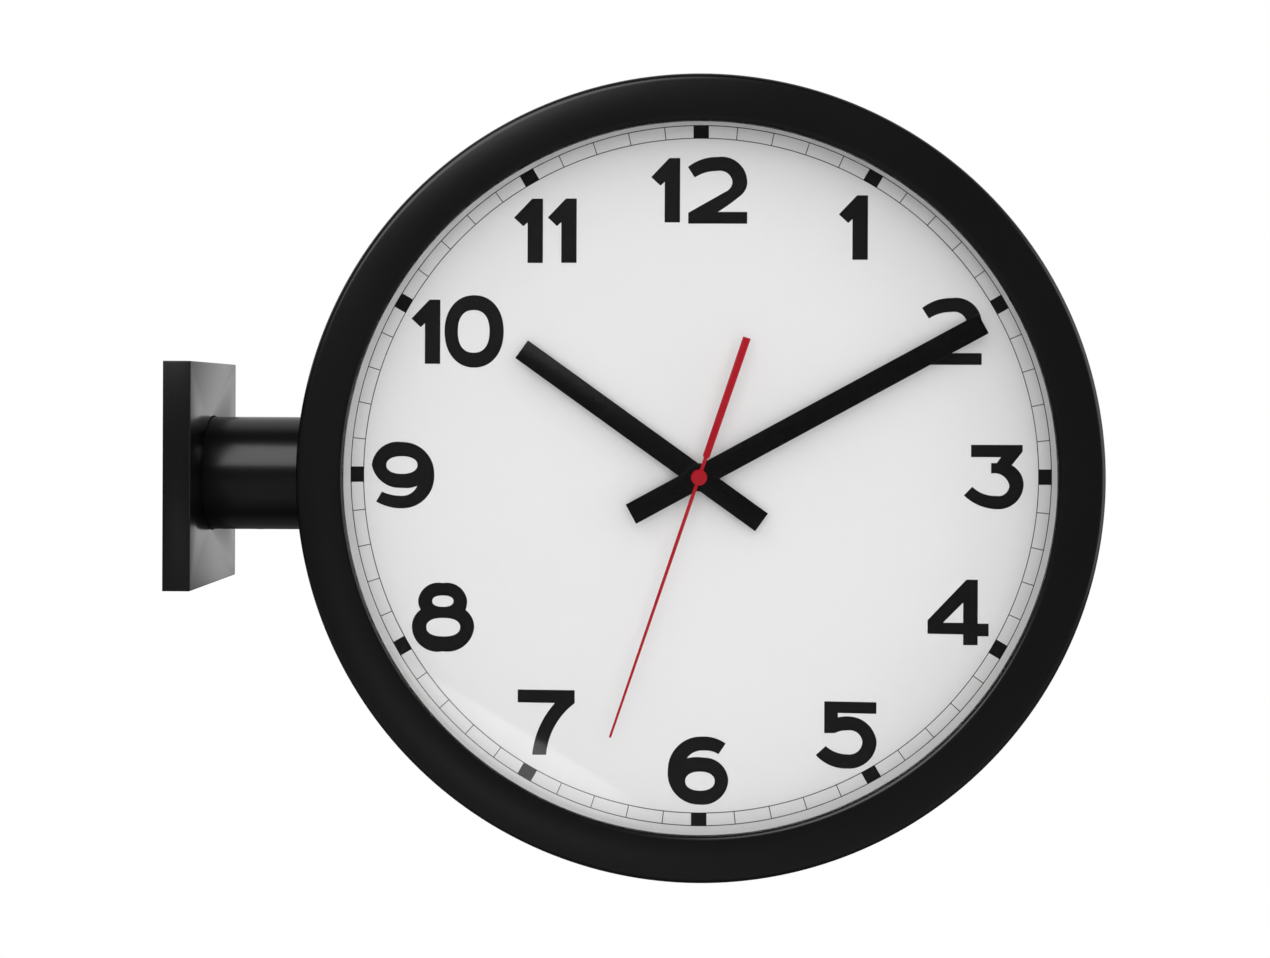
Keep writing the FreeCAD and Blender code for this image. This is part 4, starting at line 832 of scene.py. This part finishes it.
def light_world(studio):
    """White to the camera, even light on matt surfaces, and to gloss a bright backdrop and a dim room."""
    world = bpy.data.worlds.new("studio")
    bpy.context.scene.world = world
    world.cycles.sampling_method = "NONE"
    tree = ShaderTree(world)
    rays = tree.node("ShaderNodeLightPath")
    direction = tree.value(tree.node("ShaderNodeTexCoord"), "Generated")
    right, back, up = tree.parts(direction)
    behind = tree.clamped(back, *BACKDROP_EDGE)
    above = tree.clamped(up, *BACKDROP_FOOT)
    middle = tree.clamped(back, *BACKDROP_MIDDLE) * (studio.backdrop * MIDDLE_GAIN)
    wall = middle + (studio.backdrop - studio.backdrop_foot)
    backdrop = behind * (above * wall + studio.backdrop_foot)
    before = tree.clamped(back, *ROOM_EDGE)
    low = tree.clamped(up, *FRONT_CARD_TOP) * tree.clamped(up, *FRONT_CARD_FOOT)
    ceiling = tree.clamped(up, *DARK_CEILING)
    slant = up + right * CARD_SLOPE
    card = tree.clamped(slant, *CARD_TOP) * tree.clamped(slant, *CARD_FOOT)
    card = card * tree.clamped(right, *CARD_RIGHT) * tree.clamped(right, *CARD_LEFT) * studio.window_card
    front = low * studio.front_card + (1 - ceiling) * studio.front_room + card
    room = backdrop + before * front
    glossy = tree.value(rays, "Is Glossy Ray")
    matt = ((up + right * AMBIENT_LEAN) * studio.overhead + 1) * studio.ambient
    matt = matt + tree.clamped(back, *NEAR_CAMERA) * studio.front_light
    seen = glossy * room + (1 - glossy) * matt
    camera = tree.value(rays, "Is Camera Ray")
    white = tree.math("MAXIMUM", camera, tree.value(rays, "Is Transmission Ray"))
    strength = tree.math("MAXIMUM", seen * (1 - white), white)
    inputs = {"Color": WHITE, "Strength": strength}
    background = tree.node("ShaderNodeBackground", None, inputs)
    tree.node("ShaderNodeOutputWorld", None, {"Surface": tree.value(background)})


def pale_floor(tree):
    """A pale matt floor that fades into the white background."""
    place = tree.place()
    along, deep, up = tree.parts(place)
    distance = tree.math("SQRT", (along - HEAD_X) * (along - HEAD_X) + deep * deep, 0.0)
    fade = tree.clamped(distance, *FLOOR_FADE)
    matt = tree.node("ShaderNodeBsdfDiffuse", None, {"Color": FLOOR_COLOUR})
    lift = tree.node("ShaderNodeEmission", None, {"Color": WHITE, "Strength": FLOOR_LIFT})
    both = tree.node("ShaderNodeAddShader", None, {0: tree.value(matt), 1: tree.value(lift)})
    clear = tree.node("ShaderNodeBsdfTransparent")
    faded = tree.node("ShaderNodeMixShader", None, {0: fade, 1: tree.value(both), 2: tree.value(clear)})
    tree.node("ShaderNodeOutputMaterial", None, {"Surface": tree.value(faded)})


def add_floor(studio):
    mesh = bmesh.new()
    bmesh.ops.create_circle(mesh, cap_ends=True, segments=FLOOR_STEPS, radius=FLOOR_RADIUS)
    moved(mesh, Matrix.Translation((HEAD_X, 0, -studio.floor_drop)))
    floor = loose_object(mesh, "floor")
    material = bpy.data.materials.new("floor_white")
    pale_floor(ShaderTree(material))
    floor.data.materials.append(material)
    floor.visible_diffuse = False
    floor.visible_glossy = False


class ClockSetStage(bpy.types.Operator):
    """Sets the camera, the lamps, the world's light and the floor"""
    bl_idname = "clock.set_stage"
    bl_label = "Set Stage"

    def execute(self, context):
        scene = context.scene
        studio = scene.clock_studio
        scene.view_settings.view_transform = "Standard"
        add_camera(studio)
        light_world(studio)
        add_floor(studio)
        key = add_lamp("key_lamp", KEY_PLACE, KEY_SIZE, studio.key_light)
        key.visible_glossy = False
        glow = add_lamp("key_glow", GLOW_PLACE, KEY_SIZE, studio.key_glow)
        glow.visible_diffuse = False
        add_lamp("side_lamp", SIDE_PLACE, SIDE_SIZE, studio.side_light)
        return {"FINISHED"}


# --- the wall end ---
ALONG_X = Matrix.Rotation(math.radians(90), 4, "Y")
POINT_DOWN = Matrix.Rotation(math.radians(-90), 4, "X")
BEZEL_SCREW_ANGLES = (45, 135, 225, 315)
SOCKET_DEPTH = 0.55  # of the head's height
SCREW_GAP = 0.05 * MM
SCREW_RIM = 0.12 * MM
SCREW_TIP = 0.4 * MM
SET_SCREW_GAP = 0.1 * MM
ARM_EDGE = 0.3 * MM


def cover_screw_places(sizes):
    """Where a shape that points down goes for the cover's top and bottom screws."""
    low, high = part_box("cover_screws")
    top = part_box("wall_cover")[1][2] - sizes.screw_sink
    upper = Matrix.Translation(((low[0] + high[0]) / 2, 0, top))
    return [upper, Matrix.Rotation(math.pi, 4, "X") @ upper]


def bezel_screw_places(sizes):
    """Where a shape that points down goes for one bezel's screws, in the dial's frame."""
    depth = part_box("bezel_screws")[0][1] + HEAD_DEPTH / 2 + sizes.screw_head / 2
    top = Matrix.Translation((0, depth, HEAD_RADIUS - sizes.screw_sink))
    return [Matrix.Rotation(math.radians(angle), 4, "Y") @ top for angle in BEZEL_SCREW_ANGLES]


def set_screw_places():
    """Where a bar that points down goes for the arm's set screws."""
    low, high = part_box("arm_set_screws")
    radius = (high[1] - low[1]) / 2
    return [Matrix.Translation((across, 0, 0)) for across in (low[0] + radius, high[0] - radius)]


def screw_hole(sizes, depth):
    """What a countersunk screw that points down takes out of the wall that it holds."""
    head = sizes.screw_head / 2 + SCREW_GAP
    shank = sizes.screw / 2 + 2 * SCREW_GAP
    section = [(0, -CLEAR), (head, -CLEAR), (head, SCREW_GAP),
               (shank, sizes.screw_head_height + SCREW_GAP), (shank, depth), (0, depth)]
    return moved(turned(section, SMALL_STEPS), POINT_DOWN)


def socket_screw(sizes):
    """A countersunk screw with a hexagon socket that points down, its head's top at the origin."""
    radius = sizes.screw / 2
    head = sizes.screw_head / 2
    end = sizes.screw_length
    section = [(0, 0), (head - SCREW_RIM, 0), (head, SCREW_RIM), (radius, sizes.screw_head_height),
               (radius, end - SCREW_TIP), (radius - SCREW_TIP, end), (0, end)]
    socket = bar(sizes.screw_socket / math.sqrt(3), -sizes.screw_head_height * SOCKET_DEPTH, CLEAR, HEXAGON)
    return carved(moved(turned(section, SMALL_STEPS), POINT_DOWN), socket)


class ClockAddWallCover(bpy.types.Operator):
    """Adds the coated wall cover with its edges rounded, its arm hole and its screw holes"""
    bl_idname = "clock.add_wall_cover"
    bl_label = "Wall Cover"

    def execute(self, context):
        sizes = context.scene.clock_arm
        low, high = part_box("wall_cover")
        wall = sizes.cover_wall
        cover = block(low, high)
        edges = [edge for edge in cover.edges if any(vert.co.x > high[0] / 2 for vert in edge.verts)]
        rounded(cover, edges, sizes.cover_edge, COVER_EDGE_STEPS)
        inside = block((low[0] - wall, low[1] + wall, low[2] + wall), [end - wall for end in high])
        cover = carved(cover, inside)
        arm_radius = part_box("arm_tube")[1][2] + sizes.arm_gap
        cover = carved(cover, moved(bar(arm_radius, 0, 2 * high[0], HOLE_STEPS), ALONG_X))
        cover = carved(cover, copies(screw_hole(sizes, 2 * wall), cover_screw_places(sizes)))
        rim = []
        for edge in cover.edges:
            on_face = all(abs(vert.co.x - high[0]) < WELD for vert in edge.verts)
            if on_face and all(abs(vert.co.yz.length - arm_radius) < NEAR for vert in edge.verts):
                rim.append(edge)
        rounded(cover, rim, sizes.hole_edge, HOLE_EDGE_STEPS)
        add_piece(cover, "coated_wall_cover", "clock", "black_coating", "wall_cover")
        return {"FINISHED"}


class ClockAddArm(bpy.types.Operator):
    """Adds the coated arm, cut to the band that it meets"""
    bl_idname = "clock.add_arm"
    bl_label = "Arm"

    def execute(self, context):
        sizes = context.scene.clock_arm
        low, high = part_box("arm_tube")
        radius = high[2]
        inner = radius - sizes.arm_wall
        section = [(inner, low[0]), (radius, low[0], ARM_EDGE), (radius, HEAD_X), (inner, HEAD_X)]
        arm = moved(turned(section, TUBE_STEPS), Matrix.Rotation(math.radians(-90), 4, "Z"))
        head = moved(bar(radius_of("head_shell"), -FAR, FAR, TURN_STEPS * 2), POINT_DOWN)
        arm = carved(arm, moved(head, Matrix.Translation((HEAD_X, 0, 0))))
        hole = bar(sizes.set_screw / 2 + SET_SCREW_GAP, -2 * radius, 0)
        arm = carved(arm, copies(hole, set_screw_places()))
        add_piece(arm, "coated_arm", "clock", "black_coating", "arm_tube")
        return {"FINISHED"}


class ClockAddScrews(bpy.types.Operator):
    """Adds the black screws of the cover, the arm and the bezels"""
    bl_idname = "clock.add_screws"
    bl_label = "Screws"

    def execute(self, context):
        sizes = context.scene.clock_arm
        cover = copies(socket_screw(sizes), cover_screw_places(sizes))
        add_piece(cover, "black_cover_screws", "clock", "black_screws", "cover_screws")
        places = [side @ place for side in SIDES.values() for place in bezel_screw_places(sizes)]
        bezel = copies(socket_screw(sizes), places)
        add_piece(bezel, "black_bezel_screws", "clock", "black_screws", "bezel_screws")
        low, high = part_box("arm_set_screws")
        radius = sizes.set_screw / 2
        screw = bar(radius, low[2], high[2])
        edges = [edge for edge in screw.edges if all(vert.co.z < low[2] + WELD for vert in edge.verts)]
        rounded(screw, edges, SCREW_TIP)
        socket = bar(radius / math.sqrt(3), low[2] - CLEAR, low[2] + radius, HEXAGON)
        grub = copies(carved(screw, socket), set_screw_places())
        add_piece(grub, "black_set_screws", "clock", "black_screws", "arm_set_screws")
        return {"FINISHED"}


# --- the head ---
BOLT_HOLE = 6.4 * MM
BOLT_FLATS = 10 * MM  # across the flats of the arm bolts' heads
GASKET_GAP = 0.3 * MM  # from the bezel's skirt
GASKET_LAP = 1.8 * MM  # behind the bezel's lip
GASKET_LEDGE = 8.6 * MM  # in from the rim of the spacer's foot
GASKET_CORNER = 0.25 * MM
SPACER_STEP = 6.6 * MM  # from the rim of the foot in to the ring's wall
SPACER_CORNER = 0.3 * MM


class ClockAddBand(bpy.types.Operator):
    """Adds the coated band between the bezels with its flanges and weld nuts"""
    bl_idname = "clock.add_band"
    bl_label = "Head Band"

    def execute(self, context):
        sizes = context.scene.clock_head
        screws = context.scene.clock_arm
        outer = radius_of("head_shell")
        inner = outer - sizes.band_wall
        rim = inner - sizes.flange_width
        front, back = depths("head_shell")
        near = depths("front_dial")[1]
        far = HEAD_DEPTH - near
        thick = sizes.flange_thickness
        band = turned([
            (outer, front, sizes.hem_corner), (outer, back, sizes.hem_corner), (inner, back), (inner, far),
            (rim, far), (rim, far - thick), (inner, far - thick), (inner, near + thick), (rim, near + thick),
            (rim, near), (inner, near), (inner, front),
        ])
        other = Matrix.Translation((0, HEAD_DEPTH, 0)) @ Matrix.Rotation(math.pi, 4, "Z")
        places = bezel_screw_places(screws)
        places = places + [other @ place for place in places]
        sink = HEAD_RADIUS - screws.screw_sink
        nut_end = inner - sizes.weld_nut_height - sink
        nut = bar(sizes.weld_nut / 2, nut_end, outer - sizes.band_wall / 2 - sink)
        band = carved(band, copies(nut, places), "UNION")
        band = carved(band, copies(bar(screws.screw / 2, -THREAD_REACH, 0, THREAD_STEPS), places))
        low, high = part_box("arm_bolts")
        corner = BOLT_FLATS / math.sqrt(3)
        flat = BOLT_FLATS / 2
        holes = []
        for deep in (low[1] + corner, high[1] - corner):
            for up in (low[2] + flat, high[2] - flat):
                holes.append(Matrix.Translation((0, deep, up)) @ ALONG_X)
        bolts = copies(bar(BOLT_HOLE / 2, 0, HEAD_X, THREAD_STEPS), holes)
        band = carved(moved(band, SIDES["front"]), bolts)
        add_piece(band, "coated_head_band", "clock", "black_coating", "head_shell")
        return {"FINISHED"}


class ClockAddBezels(bpy.types.Operator):
    """Adds the pressed and coated bezel of each side with its countersunk holes"""
    bl_idname = "clock.add_bezels"
    bl_label = "Bezels"

    def execute(self, context):
        sizes = context.scene.clock_head
        face = HEAD_RADIUS - sizes.face_width
        opening = face + sizes.lip_flare
        sheet = sizes.bezel_sheet
        skirt = depths("front_bezel")[1]
        bezel = turned([
            (opening, sizes.lip_depth, sizes.hem_corner), (face, 0, sizes.lip_corner),
            (HEAD_RADIUS, 0, sizes.bezel_corner), (HEAD_RADIUS, skirt, sizes.hem_corner),
            (HEAD_RADIUS - sheet, skirt, sizes.hem_corner),
            (HEAD_RADIUS - sheet, sheet, sizes.bezel_corner - sheet),
            (face + sheet, sheet), (opening + sheet, sizes.lip_depth),
        ])
        hole = screw_hole(context.scene.clock_arm, 2 * sheet)
        bezel = carved(bezel, copies(hole, bezel_screw_places(context.scene.clock_arm)))
        add_on_sides(bezel, "coated_bezel", "black_coating", "bezel")
        return {"FINISHED"}


class ClockAddGlazing(bpy.types.Operator):
    """Adds the clear pane of each side and the rubber round it"""
    bl_idname = "clock.add_glazing"
    bl_label = "Glazing"

    def execute(self, context):
        sizes = context.scene.clock_head
        front, back = depths("front_lens")
        radius = radius_of("front_lens")
        edge = sizes.lens_edge
        pane = [(0, front), (radius - edge, front), (radius, front + edge), (radius, back - edge),
                (radius - edge, back), (0, back)]
        add_on_sides(turned(pane), "clear_pane", "clear_lens", "lens")
        near, far = depths("front_lens_gasket")
        outer = HEAD_RADIUS - sizes.bezel_sheet - GASKET_GAP
        show = HEAD_RADIUS - sizes.face_width + sizes.lip_flare + GASKET_LAP
        deep = radius_of("front_spacer_ring") - GASKET_LEDGE
        soft = GASKET_CORNER
        rubber = [(show, near, soft), (outer, near, soft), (outer, far, soft), (deep, far, soft),
                  (deep, back), (radius, back), (radius, front), (show, front)]
        add_on_sides(turned(rubber), "pane_rubber", "black_rubber", "lens_gasket")
        return {"FINISHED"}


class ClockAddSpacers(bpy.types.Operator):
    """Adds the ring that keeps each pane off its dial"""
    bl_idname = "clock.add_spacers"
    bl_label = "Spacer Rings"

    def execute(self, context):
        sizes = context.scene.clock_head
        front, back = depths("front_spacer_ring")
        foot = radius_of("front_spacer_ring")
        outer = foot - SPACER_STEP
        inner = outer - sizes.spacer_wall
        step = back - sizes.spacer_foot
        soft = SPACER_CORNER
        section = [(inner, front, soft), (outer, front, soft), (outer, step), (foot, step, soft),
                   (foot, back), (inner, back)]
        add_on_sides(turned(section), "pane_spacer", "white_plastic", "spacer_ring")
        return {"FINISHED"}


# --- dials and fixings ---
DIAL_EDGE = 0.1 * MM
BUSH = 8 * MM
NUT_HEIGHT = 2 * MM
NUT_EDGE = 0.4 * MM
WASHER_GAP = 0.3 * MM
WASHER_EDGE = 0.1 * MM


def flat_bar(left, right, low, high):
    return [(left, low), (right, low), (right, high), (left, high)]


def dial_print(sizes, front, back):
    """The hour blocks and the figures, as one thin layer of ink."""
    inner = sizes.track_radius - sizes.line_width / 2
    outer = sizes.track_radius + sizes.track_width + sizes.line_width / 2
    half = sizes.block_width / 2
    hours = [Matrix.Rotation(math.tau * hour / 12, 4, "Y") for hour in range(12)]
    blocks = copies(plate([flat_bar(-half, half, inner, outer)], front, back), hours)
    outlines = []
    for figure, across, up in NUMERALS:
        outlines.extend(glyph_outlines(figure, across, up))
    return gathered(blocks, plate(outlines, front, back))


def minute_track(sizes, front, back):
    """The two fine circles and the minute lines between them."""
    half = sizes.line_width / 2
    inner = sizes.track_radius
    outer = inner + sizes.track_width
    circles = [turned(flat_bar(radius - half, radius + half, front, back)) for radius in (inner, outer)]
    minutes = [Matrix.Rotation(math.tau * minute / 60, 4, "Y") for minute in range(60) if minute % 5]
    lines = copies(plate([flat_bar(-half, half, inner + half, outer - half)], front, back), minutes)
    return gathered(*circles, lines)


class ClockAddDials(bpy.types.Operator):
    """Adds the white dial of each side with its printed numerals and minute track"""
    bl_idname = "clock.add_dials"
    bl_label = "Dials"

    def execute(self, context):
        sizes = context.scene.clock_dial
        front, back = depths("front_dial")
        radius = radius_of("front_dial")
        hole = sizes.centre_hole / 2
        edge = DIAL_EDGE
        dial = [(hole, front, edge), (radius, front, edge), (radius, back, edge), (hole, back, edge)]
        add_on_sides(turned(dial), "white_dial", "white_dial", "dial")
        ink_front = front - sizes.print_height
        ink_back = front + sizes.print_height / 4
        place = Matrix.Translation((sizes.print_shift, 0, sizes.print_rise))
        figures = moved(dial_print(sizes, ink_front, ink_back), place)
        add_on_sides(figures, "dial_print", "black_hand", look="ink")
        track = moved(minute_track(sizes, (ink_front + front) / 2, ink_back), place)
        add_on_sides(track, "minute_track", "black_hand", look="track_ink")
        return {"FINISHED"}


class ClockAddFixings(bpy.types.Operator):
    """Adds the nut and the washer that hold each movement to its dial"""
    bl_idname = "clock.add_fixings"
    bl_label = "Nuts and Washers"

    def execute(self, context):
        sizes = context.scene.clock_dial
        low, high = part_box("fixing_nuts")
        nut_front = low[1] + HEAD_DEPTH / 2
        nut_back = nut_front + NUT_HEIGHT
        outlines = [circle_points((high[0] - low[0]) / 2, HEXAGON), circle_points(BUSH / 2)]
        nut = plate(outlines, nut_front, nut_back, NUT_EDGE)
        low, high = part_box("dial_washers")
        outer = (high[0] - low[0]) / 2
        inner = BUSH / 2 + WASHER_GAP
        seat = depths("front_dial")[0]
        soft = WASHER_EDGE
        washer = [(inner, nut_back, soft), (outer, nut_back, soft), (outer, seat, soft), (inner, seat, soft)]
        places = list(SIDES.values())
        add_piece(copies(nut, places), "brass_nuts", "clock", "brass", "fixing_nuts")
        washers = copies(turned(washer, MIDDLE_STEPS), places)
        add_piece(washers, "brass_washers", "clock", "brass", "dial_washers")
        return {"FINISHED"}


# --- hands ---
HAND_SIZES = ("tip", "tail", "bore", "angle")  # what the hour and minute hands each have
BLADE_DEPTH = 1.0 * MM  # from the boss's front back to the needle
BLADE_THICKNESS = 0.6 * MM
BLADE_RIM = 0.08 * MM
PIN_BORE = 1.0 * MM  # the blind hole for the second wheel's arbor
BOSS_BACK = 0.1 * MM


def blade_outline(sizes, tip, tail):
    """A straight hand that points at twelve, with its round hub standing out a little."""
    half = sizes.width / 2
    hub = sizes.hub / 2
    rise = math.sqrt(hub * hub - half * half)
    return outline_points([
        (-half, -tail), (half, -tail), (half, -rise), (hub, 0, half, rise),
        (half, tip), (-half, tip), (-half, rise), (-hub, 0, -half, -rise),
    ])


class ClockAddBlackHands(bpy.types.Operator):
    """Adds the hour hand and the minute hand of each side"""
    bl_idname = "clock.add_black_hands"
    bl_label = "Hour and Minute Hands"

    def execute(self, context):
        sizes = context.scene.clock_hands
        for name in ("hour", "minute"):
            tip, tail, bore, angle = (getattr(sizes, f"{name}_{kind}") for kind in HAND_SIZES)
            outlines = [blade_outline(sizes, tip, tail), circle_points(bore / 2)]
            hand = plate(outlines, *depths(f"front_{name}_hand"), sizes.rim)
            moved(hand, Matrix.Rotation(angle, 4, "Y"))
            add_on_sides(hand, f"black_{name}_hand", "black_hand", f"{name}_hand", f"{name}s")
        return {"FINISHED"}


class ClockAddSecondHands(bpy.types.Operator):
    """Adds the red second hand of each side: needle, counterweight and boss"""
    bl_idname = "clock.add_second_hands"
    bl_label = "Second Hands"

    def execute(self, context):
        sizes = context.scene.clock_hands
        front, back = depths("front_second_hand")
        blade_front = front + BLADE_DEPTH
        start = -sizes.weight_start
        right = [(sizes.weight_outer / 2, -sizes.weight_end),
                 (sizes.weight_inner / 2, start - sizes.weight_shoulder),
                 (sizes.needle_root / 2, start), (sizes.needle_point / 2, sizes.second_tip)]
        outline = [(-across, up) for across, up in reversed(right)] + right
        bore = PIN_BORE / 2
        outlines = [outline, circle_points(bore, PIN_STEPS)]
        blade = plate(outlines, blade_front, blade_front + BLADE_THICKNESS, BLADE_RIM)
        radius = sizes.boss / 2
        edge = sizes.boss_edge
        boss = [(0, front), (radius - edge, front), (radius, front + edge), (radius, back, BOSS_BACK),
                (bore, back), (bore, blade_front), (0, blade_front)]
        hand = gathered(blade, turned(boss, MIDDLE_STEPS))
        moved(hand, Matrix.Rotation(sizes.second_angle, 4, "Y"))
        add_on_sides(hand, "red_second_hand", "red_hand", "second_hand", "seconds")
        return {"FINISHED"}


# --- what stays as it was built ---
class ClockFinishFrame(bpy.types.Operator):
    """Gives every piece that stays as it was built the finish of its material slot"""
    bl_idname = "clock.finish_frame"
    bl_label = "Finish Built Pieces"

    def execute(self, context):
        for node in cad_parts.values():
            for slot in node.material_slots:
                name = slot.material.name.split(".")[0]
                if name in FINISHES:
                    slot.material = finish(name)
        return {"FINISHED"}


STEPS = (
    ClockSetStage, ClockFinishFrame, ClockAddWallCover, ClockAddArm, ClockAddBand, ClockAddBezels,
    ClockAddScrews, ClockAddGlazing, ClockAddSpacers, ClockAddDials, ClockAddFixings,
    ClockAddBlackHands, ClockAddSecondHands,
)

GROUPS = {
    "clock_head": ClockHeadSizes,
    "clock_dial": ClockDialSizes,
    "clock_hands": ClockHandSizes,
    "clock_arm": ClockArmSizes,
    "clock_colours": ClockColours,
    "clock_studio": ClockStudio,
}


class ClockPanel(bpy.types.Panel):
    """Lists the clock's sizes, colours and steps"""
    bl_idname = "VIEW3D_PT_clock"
    bl_label = "Station Clock"
    bl_space_type = "VIEW_3D"
    bl_region_type = "UI"
    bl_category = "Clock"

    def draw(self, context):
        for step in STEPS:
            self.layout.operator(step.bl_idname)
        for attribute, group in GROUPS.items():
            box = self.layout.box()
            for name in group.__annotations__:
                box.prop(getattr(context.scene, attribute), name)


CLASSES = (*GROUPS.values(), *STEPS, ClockPanel)


def register():
    for kind in CLASSES:
        bpy.utils.register_class(kind)
    for attribute, group in GROUPS.items():
        setattr(bpy.types.Scene, attribute, bpy.props.PointerProperty(type=group))


def unregister():
    for attribute in GROUPS:
        delattr(bpy.types.Scene, attribute)
    for kind in reversed(CLASSES):
        bpy.utils.unregister_class(kind)


def main():
    register()
    for step in STEPS:
        area, name = step.bl_idname.split(".")
        getattr(getattr(bpy.ops, area), name)()


if __name__ == "__main__":
    main()
